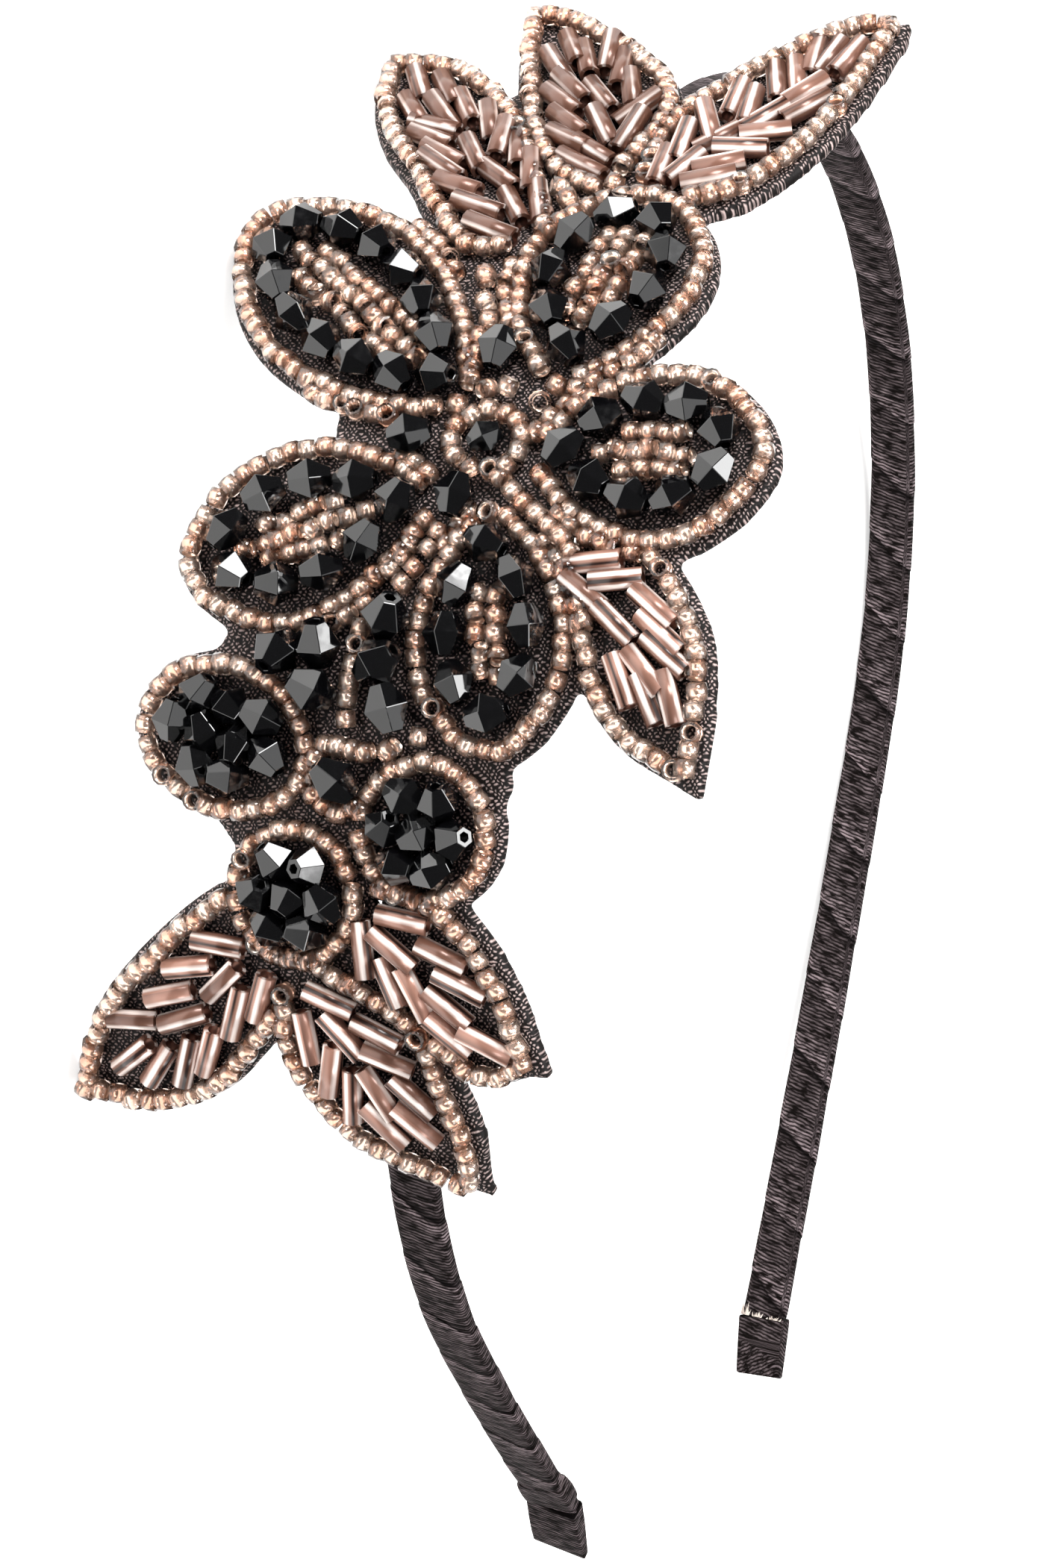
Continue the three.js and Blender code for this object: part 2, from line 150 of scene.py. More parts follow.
camera_data = bpy.data.cameras.new("photo_camera")
camera_data.sensor_width = SENSOR_MM
camera_data.lens = focal_pixels / PHOTO["height"] * SENSOR_MM
camera_data.clip_start = 0.01
camera = bpy.data.objects.new("photo_camera", camera_data)
bpy.context.scene.collection.objects.link(camera)
camera_turn = np.stack([camera_right, camera_up, -aim]) @ WORN_AXES
camera_place = to_frame(TARGET + backwards * VIEW["distance"])
camera.matrix_world = (Matrix.Translation(camera_place.tolist())
                       @ Matrix(camera_turn.T.tolist()).to_4x4())
bpy.context.scene.camera = camera
print("lens", round(camera_data.lens, 1), "mm, camera height", round(camera.location.z, 3), "m")

# %% [markdown]
# ## Finishes
# A material is a few nodes. One function adds a node, sets it and links it. Colours are written as they
# are picked on a screen, so one function turns them to the linear values that light adds up in.

# %% Colour and node helpers
def linear(hex_colour):
    channels = [int(hex_colour[i:i + 2], 16) / 255 for i in (1, 3, 5)]
    return [c / 12.92 if c <= 0.04045 else ((c + 0.055) / 1.055) ** 2.4 for c in channels] + [1.0]


def add_node(tree, kind, settings=None, links=None):
    """A node with its options and input values, and its inputs linked from (node, output)."""
    made = tree.nodes.new(kind)
    for name, value in (settings or {}).items():
        if isinstance(name, int) or name in made.inputs:
            made.inputs[name].default_value = value
        else:
            setattr(made, name, value)
    for name, (source, output) in (links or {}).items():
        tree.links.new(source.outputs[output], made.inputs[name])
    return made


def new_finish(name):
    """An empty material, and the tree that its nodes go in."""
    finish = bpy.data.materials.new(name)
    finish.use_nodes = True
    finish.node_tree.nodes.clear()
    return finish, finish.node_tree


def show(tree, shader):
    add_node(tree, "ShaderNodeOutputMaterial", links={"Surface": (shader, "BSDF")})


print("a screen grey of one half is", round(linear("#808080")[0], 3), "in linear light")

# %% [markdown]
# ### Black satin ribbon
# Polyester satin, woven with long floating threads that lie side by side and glint in short slanted
# dashes. The real threads are about 0.1 mm apart, too fine to show, so the dashes are drawn four times as
# coarse. The glints are painted highlights: the base colour is lighter where threads and dashes meet. The
# map runs along and round the band in millimetres, so the dashes follow the winding. Under the edge of each
# wind a thin dark line is painted as its shadow on the wind below, and its own edge gets a painted gleam.
# The mesh carries both in an attribute that is positive on the painted shadow line and negative on the
# painted gleam.

# %% Satin
# A wave texture at scale 1 repeats after this length.
WAVE_PERIOD = 2 * math.pi / 20
THREAD = {"spacing": 0.4, "slant": 14.0, "dash_length": 1.9, "dash_width": 0.5}

satin, tree = new_finish("black_satin_ribbon")
cloth_map = add_node(tree, "ShaderNodeUVMap")
slanted = add_node(tree, "ShaderNodeMapping", {"Rotation": (0, 0, math.radians(THREAD["slant"]))},
                   {"Vector": (cloth_map, "UV")})
threads = add_node(tree, "ShaderNodeTexWave",
                   {"Scale": WAVE_PERIOD / THREAD["spacing"], "Distortion": 4.0, "Detail": 2.5,
                    "Detail Scale": 0.9},
                   {"Vector": (slanted, "Vector")})
drawn_out = add_node(tree, "ShaderNodeMapping",
                     {"Scale": (1 / THREAD["dash_width"], 1 / THREAD["dash_length"], 1)},
                     {"Vector": (slanted, "Vector")})
dashes = add_node(tree, "ShaderNodeTexNoise", {"Scale": 1.0, "Detail": 3.0, "Roughness": 0.6},
                  {"Vector": (drawn_out, "Vector")})
dash_share = add_node(tree, "ShaderNodeMapRange", {"From Min": 0.4, "From Max": 0.74},
                      {"Value": (dashes, "Fac")})
painted_lap_shadow_and_gleam = add_node(tree, "ShaderNodeAttribute", {"attribute_name": "lap_painted_light"})
# Painted gleam: the glints are made brighter on the upper edge of each wind.
painted_gleam = add_node(tree, "ShaderNodeMapRange",
                 {"From Min": 0.0, "From Max": -1.0, "To Min": 0.85, "To Max": 2.4},
                 {"Value": (painted_lap_shadow_and_gleam, "Fac")})
dash_gleam = add_node(tree, "ShaderNodeMath", {"operation": "MULTIPLY"},
                      {0: (dash_share, "Result"), 1: (painted_gleam, "Result")})
glints = add_node(tree, "ShaderNodeMath", {"operation": "MULTIPLY"},
                  {0: (threads, "Fac"), 1: (dash_gleam, "Value")})
# Painted highlight: the glints lighten the satin's base colour.
painted_glint_colour = add_node(tree, "ShaderNodeMix",
                    {"data_type": "RGBA", 6: linear("#0c0807"), 7: linear("#85777a")},
                    {0: (glints, "Value")})
# Painted shadow: the base colour goes nearly black on the line under each wind's edge.
satin_tint_with_painted_light = add_node(tree, "ShaderNodeMix", {"data_type": "RGBA", 7: linear("#050303")},
                      {0: (painted_lap_shadow_and_gleam, "Fac"), 6: (painted_glint_colour, 2)})
satin_gloss = add_node(tree, "ShaderNodeMapRange", {"To Min": 0.8, "To Max": 0.55},
                       {"Value": (threads, "Fac")})
satin_relief = add_node(tree, "ShaderNodeBump", {"Strength": 0.7, "Distance": 0.1 * MM},
                        {"Height": (threads, "Fac")})
show(tree, add_node(tree, "ShaderNodeBsdfPrincipled", {"IOR": 1.45, "Specular IOR Level": 0.04},
                    {"Base Color": (satin_tint_with_painted_light, 2), "Roughness": (satin_gloss, "Result"),
                     "Normal": (satin_relief, "Normal")}))
print("finish:", satin.name)

# %% [markdown]
# ### Woven backing
# The cloth under the beads is a coarse black plain weave, stiffened with glue. Small bright specks are
# drawn on the high threads. Two crossed waves make the weave, and their product is high only where
# threads cross. A fine noise makes some crossings brighter than others.

# %% Backing cloth
WEAVE = {"spacing": 0.42, "slant": 32.0, "patch": 0.55}

weave, tree = new_finish("black_woven_backing")
cloth_map = add_node(tree, "ShaderNodeUVMap")
slanted = add_node(tree, "ShaderNodeMapping", {"Rotation": (0, 0, math.radians(WEAVE["slant"]))},
                   {"Vector": (cloth_map, "UV")})
weft, warp = (add_node(tree, "ShaderNodeTexWave",
                       {"bands_direction": way, "Scale": WAVE_PERIOD / WEAVE["spacing"],
                        "Distortion": 9.0, "Detail Scale": 1.4},
                       {"Vector": (slanted, "Vector")}) for way in ("X", "Y"))
crossing = add_node(tree, "ShaderNodeMath", {"operation": "MULTIPLY"}, {0: (weft, "Fac"), 1: (warp, "Fac")})
patches = add_node(tree, "ShaderNodeTexNoise",
                   {"Scale": 1 / WEAVE["patch"], "Detail": 4.0, "Roughness": 0.7},
                   {"Vector": (cloth_map, "UV")})
specks = add_node(tree, "ShaderNodeMath", {"operation": "MULTIPLY"},
                  {0: (crossing, "Value"), 1: (patches, "Fac")})
speck_share = add_node(tree, "ShaderNodeMapRange", {"From Min": 0.1, "From Max": 0.5},
                       {"Value": (specks, "Value")})
weave_tint = add_node(tree, "ShaderNodeMix",
                      {"data_type": "RGBA", 6: linear("#0e0908"), 7: linear("#c0aba7")},
                      {0: (speck_share, "Result")})
weave_relief = add_node(tree, "ShaderNodeBump", {"Strength": 0.8, "Distance": 0.12 * MM},
                        {"Height": (crossing, "Value")})
show(tree, add_node(tree, "ShaderNodeBsdfPrincipled", {"Roughness": 0.6, "Specular IOR Level": 0.2},
                    {"Base Color": (weave_tint, 2), "Normal": (weave_relief, "Normal")}))
print("finish:", weave.name)

# %% [markdown]
# ### Silver-lined rose glass
# Seed and bugle beads are drawn glass tubes, cut short and tumbled, with a mirror inside the hole. Light
# goes through the rose glass, comes back from the mirror, and leaves a bright core with dark coppery edges.
# A seed bead is round in its hole too, so its glass is real glass and its hole is real mirror. A bugle's
# hole is square: its mirrored flats show as straight streaks, bright and dark, that stay with the tube as
# it is turned. Those streaks are painted reflections, a painted highlight and a painted shade drawn into
# the tube's colour from an attribute. Each bead carries a tone of its own, because no batch of glass is even.

# %% Glass and mirror
def toned(tree, pale, deep):
    """A colour from pale to deep, by the tone that each bead or thread carries."""
    tone = add_node(tree, "ShaderNodeAttribute", {"attribute_name": "tone"})
    return add_node(tree, "ShaderNodeMix", {"data_type": "RGBA", 6: linear(pale), 7: linear(deep)},
                    {0: (tone, "Fac")})


def toned_finish(name, pale, deep, surface):
    """A finish in a toned colour, with the sockets of its surface."""
    finish, tree = new_finish(name)
    show(tree, add_node(tree, "ShaderNodeBsdfPrincipled", surface,
                        {"Base Color": (toned(tree, pale, deep), 2)}))
    return finish


def lined_tube(name, pale, deep, bright, dark):
    """Glass over a square mirrored hole, whose flats run along the tube as streaks painted into its colour: a
    painted highlight and a painted dark reflection.
    """
    finish, tree = new_finish(name)
    painted_streak = add_node(tree, "ShaderNodeAttribute", {"attribute_name": "painted_streak"})
    flash = add_node(tree, "ShaderNodeMapRange", {"From Min": 0.1, "From Max": 0.45},
                     {"Value": (painted_streak, "Fac")})
    # Painted highlight: the bright streaks lighten the glass colour.
    lit = add_node(tree, "ShaderNodeMix", {"data_type": "RGBA", 7: linear(bright)},
                   {0: (flash, "Result"), 6: (toned(tree, pale, deep), 2)})
    shade = add_node(tree, "ShaderNodeMapRange", {"From Min": -0.1, "From Max": -0.45},
                     {"Value": (painted_streak, "Fac")})
    # Painted shade: the dark streaks darken it.
    lined = add_node(tree, "ShaderNodeMix", {"data_type": "RGBA", 7: linear(dark)},
                     {0: (shade, "Result"), 6: (lit, 2)})
    show(tree, add_node(tree, "ShaderNodeBsdfPrincipled",
                        {"Roughness": 0.35, "Metallic": 0.3, "Coat Weight": 0.3, "Coat Roughness": 0.1,
                         "Coat IOR": 1.52},
                        {"Base Color": (lined, 2)}))
    return finish


seed_glass = toned_finish("lined_rose_seed_glass", "#fbeee7", "#f0d8cb",
                          {"Roughness": 0.03, "IOR": 1.52, "Transmission Weight": 1.0})
seed_mirror = toned_finish("seed_silver_lining", "#fff0e4", "#f3cdb6", {"Roughness": 0.24, "Metallic": 0.8})
bugle_glass = lined_tube("lined_rose_bugle_glass", "#ac7f6e", "#5e3d2f", "#fff1ea", "#24120d")
bugle_mirror = toned_finish("bugle_silver_lining", "#8a6254", "#5a3c32", {"Roughness": 0.3, "Metallic": 0.8})
print("finishes:", seed_glass.name, bugle_glass.name)

# %% [markdown]
# ### Jet crystal
# Jet is black glass, cut with flat facets and polished like a mirror. It has no colour of its own to show:
# each facet is as bright as what it faces. Handling leaves a faint haze, so the gloss varies a little.

# %% Jet
HAZE_MM = 0.9

jet, tree = new_finish("cut_jet_glass")
places = add_node(tree, "ShaderNodeTexCoord")
haze = add_node(tree, "ShaderNodeTexNoise", {"Scale": 1 / (HAZE_MM * MM), "Detail": 2.0},
                {"Vector": (places, "Object")})
haze_share = add_node(tree, "ShaderNodeMapRange",
                      {"From Min": 0.35, "From Max": 0.75, "To Min": 0.02, "To Max": 0.1},
                      {"Value": (haze, "Fac")})
show(tree, add_node(tree, "ShaderNodeBsdfPrincipled",
                    {"Base Color": linear("#050506"), "IOR": 1.6},
                    {"Roughness": (haze_share, "Result")}))
print("finish:", jet.name)

# %% [markdown]
# ## The band
# A strip of spring steel inside, and satin ribbon wound round it from end to end: each wind lies over the
# edge of the last one. A plain tube with painted lines would have a smooth edge against the light, so the
# winding is modelled. A flat grid, as long as the band and as wide as its girth, is rolled up at a slant:
# the far edge of each row meets the near edge of the row one wind later, and the two are welded.
# It is rolled straight, cut to length, and only then bent along the band's two legs.

# %% The line that the band follows
def along_leg(arcs, distance):
    """How far out and down a leg reaches at a distance from its top, and its turn there."""
    turned = np.zeros_like(distance)
    out = np.zeros_like(distance)
    down = np.zeros_like(distance)
    left = distance
    for arc in arcs:
        part = np.minimum(left / arc["radius"], math.radians(arc["turn"]))
        out = out + arc["radius"] * (np.sin(turned + part) - np.sin(turned))
        down = down + arc["radius"] * (np.cos(turned) - np.cos(turned + part))
        turned = turned + part
        left = left - part * arc["radius"]
    return out + left * np.cos(turned), down + left * np.sin(turned), turned


def leg_length(arcs):
    return sum(arc["radius"] * math.radians(arc["turn"]) for arc in arcs)


NEAR_LENGTH = leg_length(NEAR_LEG)
FAR_LENGTH = leg_length(FAR_LEG)


def bend_on_band(straight):
    """Places (along from the top, across, outwards) to the worn band, the near leg having negative along."""
    along, across, outwards = straight.T
    near = along < 0
    near_out, near_down, near_turn = along_leg(NEAR_LEG, np.where(near, -along, 0.0))
    far_out, far_down, far_turn = along_leg(FAR_LEG, np.where(near, 0.0, along))
    lean = np.where(near, -near_turn, far_turn)
    x = np.where(near, -near_out, far_out) + outwards * np.sin(lean)
    z = np.where(near, -near_down, -far_down) + outwards * np.cos(lean)
    return np.stack([x, across, z], axis=1)


print("band length", round(NEAR_LENGTH + FAR_LENGTH), "mm")

# %% Lay out the ribbon as a grid
TUCK = 0.8
ENDS = {
    "near": {"start": 8.5, "length": 8.2, "width": 5.3, "taper": -0.08, "root_slant": 0.3, "tip_slant": 1.2,
             "flat": 0.65, "turned": 3.9, "flare": 18.0},
    "far": {"start": 6.2, "length": 6.7, "width": 5.4, "taper": 0.08, "root_slant": 0.0, "tip_slant": 0.3,
            "flat": 0.2, "turned": -6.0, "flare": 0.0},
}
WIND = {"pitch": 8.6, "columns": 36, "squareness": 4.5, "slant": 0.8, "spare": 3}
WIND_SHARES = np.array([0.0, 0.03, 0.14, 0.32, 0.55, 0.78, 0.93, 0.985])
WIND_LIFTS = np.array([0.0, 0.02, 0.15, 0.4, 0.68, 0.9, 1.0, 1.0])
# Painted light along each wind: positive is a painted shadow line under the edge of the wind above, negative
# a painted gleam on its own edge.
WIND_PAINTED_LIGHT = np.array([1.0, 0.7, 0.0, 0.0, 0.0, -0.3, -1.0, -1.0])

start_fresh()
band_start = ENDS["near"]["start"] - TUCK - NEAR_LENGTH
band_end = FAR_LENGTH - ENDS["far"]["start"] + TUCK
winds = math.ceil((band_end - band_start) / WIND["pitch"]) + WIND["spare"]
rows = winds * len(WIND_SHARES)
bpy.ops.mesh.primitive_grid_add(x_subdivisions=rows - 1, y_subdivisions=WIND["columns"], size=1)
ribbon = bpy.context.object
ribbon.name = "wound_ribbon"
grid = places_of(ribbon.data) * MM + 0.5
row = np.rint(grid[:, 0] * (rows - 1)).astype(int)
round_share = grid[:, 1]
wind, step = np.divmod(row, len(WIND_SHARES))
print("winds of ribbon:", winds - WIND["spare"])

# %% Roll it up at a slant
def place_straight(mesh, places):
    """Set vertex places in millimetres, before the piece is bent to the worn headband."""
    mesh.vertices.foreach_set("co", (places * MM).ravel())


def mark(mesh, name, values):
    """Write a number on each vertex, for a finish to read."""
    mesh.attributes.new(name, "FLOAT", "POINT").data.foreach_set("value", values)


SWAY = {"reach": 0.35, "rate": 2.3, "quick_reach": 0.21, "quick_rate": 5.1}
LAP = {"thickness": 0.07, "seat": 0.6, "unevenness": 0.7, "rate": 2.9}

face_share = round_share - WIND["slant"] * np.sin(4 * math.pi * round_share) / (4 * math.pi)
turns = wind + face_share
along = band_start + (turns - 2 + WIND_SHARES[step]) * WIND["pitch"]
along = along + SWAY["reach"] * np.sin(SWAY["rate"] * turns)
along = along + SWAY["quick_reach"] * np.sin(SWAY["quick_rate"] * turns + 1)
lift = LAP["thickness"] * (WIND_LIFTS[step] - LAP["seat"])
lift = lift * (1 + LAP["unevenness"] * np.sin(LAP["rate"] * turns))
angle = 2 * math.pi * round_share
power = WIND["squareness"]
full = (np.abs(np.cos(angle)) ** power + np.abs(np.sin(angle)) ** power) ** (-1 / power)
across = -(BAND["width"] / 2 + lift) * full * np.cos(angle)
outwards = (BAND["thickness"] / 2 + lift) * full * np.sin(angle)
place_straight(ribbon.data, np.stack([along, across, outwards], axis=1))
# Painted shadow line and painted gleam, for the satin to draw.
mark(ribbon.data, "lap_painted_light", WIND_PAINTED_LIGHT[step])
print("lift of the winds:", round(np.ptp(lift), 2), "mm")

# %% Weld it, and cut it to length
WELD = 0.005
RIBBON_SMOOTH = 35.0

bpy.ops.object.mode_set(mode="EDIT")
bpy.ops.mesh.select_all(action="SELECT")
bpy.ops.mesh.remove_doubles(threshold=WELD * MM)
bpy.ops.mesh.normals_make_consistent(inside=False)
for cut, outer in ((band_start, False), (band_end, True)):
    bpy.ops.mesh.select_all(action="SELECT")
    bpy.ops.mesh.bisect(plane_co=(cut * MM, 0, 0), plane_no=(1, 0, 0), use_fill=True,
                        clear_inner=not outer, clear_outer=outer)
bpy.ops.object.mode_set(mode="OBJECT")
bpy.ops.object.shade_smooth_by_angle(angle=math.radians(RIBBON_SMOOTH))
print("ribbon from", round(band_start), "to", round(band_end), "mm along the band")


# %% Bend a straight piece along the band, with its map in millimetres
def map_cloth(mesh, cloth):
    """Lay a cloth map on a mesh, given in millimetres for each vertex."""
    layer = mesh.uv_layers.active or mesh.uv_layers.new(name="cloth")
    corners = np.empty(len(mesh.loops), int)
    mesh.loops.foreach_get("vertex_index", corners)
    layer.data.foreach_set("uv", cloth[corners].ravel())


def place_worn(mesh, worn_places):
    mesh.vertices.foreach_set("co", to_frame(worn_places).ravel())
    mesh.update()


def dress_on_band(piece, reshape=lambda worn: worn):
    straight = places_of(piece.data)
    across, outwards = straight[:, 1], straight[:, 2]
    side = BAND["thickness"] / 2 - outwards
    on_side = np.abs(across) / BAND["width"] > np.abs(outwards) / BAND["thickness"]
    inside = BAND["width"] + BAND["thickness"] - across
    girth = np.where(on_side, across + np.sign(across) * side, np.where(outwards > 0, across, inside))
    map_cloth(piece.data, np.stack([straight[:, 0], girth], axis=1))
    place_worn(piece.data, reshape(bend_on_band(straight)))


dress_on_band(ribbon)
hand_in(ribbon, ["ribbon_band"], [satin])

# %% [markdown]
# ## The folded ends
# The ribbon's own end is turned over the tip of each leg and glued: a short, slightly fatter sleeve, sewn
# a little askew, and at the near end bent outwards. Each one starts as a cube at its size, gets soft edges
# from a bevel, and is then slanted, tapered and turned before it is bent along the leg.

# %% A bevelled block along the band
FOLD_SMOOTH = 40.0


def bevelled_block(name, middle, size, edge, cuts):
    """A block at a place along the band, with soft edges, cut across where it is to be shaped."""
    start_fresh()
    bpy.ops.mesh.primitive_cube_add(size=1, location=(middle * MM, 0, 0))
    block = bpy.context.object
    block.name = name
    block.dimensions = [side * MM for side in size]
    bpy.ops.object.transform_apply(location=True, rotation=True, scale=True)
    bpy.ops.object.mode_set(mode="EDIT")
    bpy.ops.mesh.select_all(action="SELECT")
    bpy.ops.mesh.bevel(offset=edge * MM, segments=3, affect="EDGES")
    for cut in cuts:
        bpy.ops.mesh.select_all(action="SELECT")
        bpy.ops.mesh.bisect(plane_co=(cut * MM, 0, 0), plane_no=(1, 0, 0))
    bpy.ops.object.mode_set(mode="OBJECT")
    return block


def shape_block(block, straight, painted_shadow_edge):
    """Set the shaped places, mark the edge that gets a painted shadow line, and shade it smooth."""
    place_straight(block.data, straight)
    mark(block.data, "lap_painted_light", painted_shadow_edge.astype(float))
    bpy.ops.object.shade_smooth_by_angle(angle=math.radians(FOLD_SMOOTH))


# %% Two ribbon ends
END_THICKNESS = 2.6
END_EDGE = 0.3
END_CUTS = (0.07, 0.4, 0.7)


def flared(worn, root, angle):
    """Turn worn places about the line across the band through a place on it."""
    off = worn - root
    x = off[:, 0] * math.cos(angle) + off[:, 2] * math.sin(angle)
    z = off[:, 2] * math.cos(angle) - off[:, 0] * math.sin(angle)
    return root + np.stack([x, off[:, 1], z], axis=1)


def ribbon_end(name, end, tip, heading):
    """A folded end at the tip of a leg; heading is the sign of the way along the band to the tip."""
    first = tip - heading * end["start"]
    middle = first + heading * end["length"] / 2
    cuts = [first + heading * cut * end["length"] for cut in END_CUTS]
    sleeve = bevelled_block(name, middle, (end["length"], end["width"], END_THICKNESS), END_EDGE, cuts)
    straight = places_of(sleeve.data)
    reach = (straight[:, 0] - first) * heading
    share = np.clip(reach / end["length"], 0, 1)
    across = straight[:, 1] * (1 - end["taper"] * share)
    slant = end["root_slant"] * (1 - share) ** 2 + end["tip_slant"] / end["width"] * share ** 2
    reach = reach - slant * across
    turned = math.radians(end["turned"])
    straight[:, 0] = first + heading * (reach * math.cos(turned) - across * math.sin(turned))
    straight[:, 1] = across * math.cos(turned) + reach * math.sin(turned)
    straight[:, 2] *= 1 - end["flat"] * share ** 2
    # Painted shadow: a dark line at the root of the sleeve.
    shape_block(sleeve, straight, share < END_CUTS[0] / 2)
    root = bend_on_band(np.array([[first, 0.0, 0.0]]))
    dress_on_band(sleeve, lambda worn: flared(worn, root, math.radians(end["flare"])))
    return sleeve


near_end = ribbon_end("near_folded_end", ENDS["near"], -NEAR_LENGTH, -1)
hand_in(near_end, ["near_end_ribbon"], [satin])
far_end = ribbon_end("far_folded_end", ENDS["far"], FAR_LENGTH, 1)
hand_in(far_end, ["far_end_ribbon"], [satin])

# %% [markdown]
# The near end was closed less neatly: the last wind bulges over the joint like a collar. It is a bevelled
# cube again, cut across in the middle, fattened there, and slanted like the winds.

# %% Collar over the near joint
COLLAR = {"length": 5.8, "width": 4.95, "thickness": 2.2, "edge": 0.4, "bulge": 0.26, "slant": 0.1,
          "from_tip": 11.4, "painted_shadow_edge": 0.05}
COLLAR_CUTS = (-0.8, -0.4, 0.0, 0.5)

collar_at = COLLAR["from_tip"] - NEAR_LENGTH
collar_size = [COLLAR[side] for side in ("length", "width", "thickness")]
collar_cuts = [collar_at + cut * COLLAR["length"] / 2 for cut in COLLAR_CUTS]
collar = bevelled_block("near_end_collar", collar_at, collar_size, COLLAR["edge"], collar_cuts)
straight = places_of(collar.data)
off_middle = (straight[:, 0] - collar_at) / (COLLAR["length"] / 2)
fatter = 1 + COLLAR["bulge"] * (1 - off_middle ** 2) / (COLLAR["width"] / 2)
straight[:, 1:] *= fatter[:, None]
straight[:, 0] -= COLLAR["slant"] * straight[:, 1]
# Painted shadow: a dark line at one end of the collar.
shape_block(collar, straight, off_middle < COLLAR_CUTS[0] - COLLAR["painted_shadow_edge"])
dress_on_band(collar)
hand_in(collar, [], [satin])

# %% [markdown]
# ### A frayed edge
# The ribbon at the far end is turned over and its cut edge left raw, so pale thread ends stick out of the
# fold on the inner side. Each thread is a sliver of four faces, and they are joined as one piece.

# %% Join copies as one piece
def joined_copies(name, worn, faces):
    """One piece from many copies: worn places by copy and corner, and the faces of one copy."""
    count, per_copy, _ = worn.shape
    every_face = [[corner + k * per_copy for corner in face] for k in range(count) for face in faces]
    mesh = bpy.data.meshes.new(name)
    mesh.from_pydata(to_frame(worn.reshape(-1, 3)).tolist(), [], every_face)
    piece = bpy.data.objects.new(name, mesh)
    bpy.context.scene.collection.objects.link(piece)
    return piece


# %% Raw thread ends
FRAY = {"half_width": 0.11, "stand_off": 0.12, "shortest": 0.4, "tucked": 0.2, "bend": 0.2}
CLUMPS = [
    {"across": 1.9, "spread": 0.3, "threads": 9, "longest": 1.7},
    {"across": 0.6, "spread": 0.55, "threads": 16, "longest": 0.7},
    {"across": -1.4, "spread": 0.5, "threads": 12, "longest": 0.5},
]
SLIVER = np.array([[0, -1, 0.2], [0, 1, 0.2], [0, 0, -1], [-1, 0, 0]])
SLIVER_FACES = [(0, 1, 2), (1, 0, 3), (2, 1, 3), (0, 2, 3)]

raw_thread = toned_finish("raw_cream_thread", "#d9cec3", "#8d8078",
                          {"Roughness": 0.8, "Specular IOR Level": 0.1})
spread = np.concatenate([
    rng.normal(clump["across"], clump["spread"], clump["threads"]) for clump in CLUMPS])
reach = np.concatenate([
    rng.uniform(FRAY["shortest"], 1, clump["threads"]) * clump["longest"] for clump in CLUMPS])
threads_out = len(spread)
fold_edge = FAR_LENGTH - ENDS["far"]["start"]
inner_face = -END_THICKNESS / 2
straight = np.empty((threads_out, len(SLIVER), 3))
straight[:, :, 0] = fold_edge + FRAY["tucked"] + SLIVER[:, 0] * reach[:, None]
straight[:, :, 1] = spread[:, None] + SLIVER[:, 1] * FRAY["half_width"]
straight[:, -1, 1] += rng.normal(0, FRAY["bend"], threads_out)
straight[:, :, 2] = inner_face - FRAY["stand_off"] * (1 + SLIVER[:, 2])
worn = bend_on_band(straight.reshape(-1, 3)).reshape(straight.shape)
fray = joined_copies("far_end_frayed_edge", worn, SLIVER_FACES)
mark(fray.data, "tone", np.repeat(rng.random(threads_out), len(SLIVER)))
hand_in(fray, [], [raw_thread])

# %% [markdown]
# ## The flat sheet
# The applique was beaded flat in a frame, cut out, and bent over the band. It is modelled the same way:
# a place on it is two numbers, across the band and down the leg from the top, and a third for the height
# over the band. One function then bends such places round the leg. Above the last touch on the band the
# sheet goes on straight.

# %% From the flat sheet to the worn headband
GAP = 0.3
SHEET = {"thickness": 1.6, "margin": 1.5, "leaf_point": 2.6, "last_touch": 36.0}
SHEET_UNDERSIDE = BAND["thickness"] / 2 + GAP
SHEET_TOP = SHEET_UNDERSIDE + SHEET["thickness"]
SHEET_RADIUS = NEAR_LEG[0]["radius"]


def sheet_ways(down):
    """Worn directions across, down and outwards at places down the sheet, one 3 by 3 turn each."""
    angle = np.maximum(down, SHEET["last_touch"]) / SHEET_RADIUS
    zero = np.zeros_like(angle)
    across = np.stack([zero, zero + 1, zero], axis=-1)
    downwards = np.stack([-np.cos(angle), zero, -np.sin(angle)], axis=-1)
    outwards = np.stack([-np.sin(angle), zero, np.cos(angle)], axis=-1)
    return np.stack([across, downwards, outwards], axis=-1)


def on_sheet(flat, height):
    ways = sheet_ways(flat[:, 1])
    past = np.minimum(0, flat[:, 1] - SHEET["last_touch"])
    reach = np.stack([flat[:, 0], past, SHEET_RADIUS + height], axis=1)
    return np.einsum("nij,nj->ni", ways, reach) - [0, 0, SHEET_RADIUS]


print("underside of the cloth:", SHEET_UNDERSIDE, "mm over the band's middle")

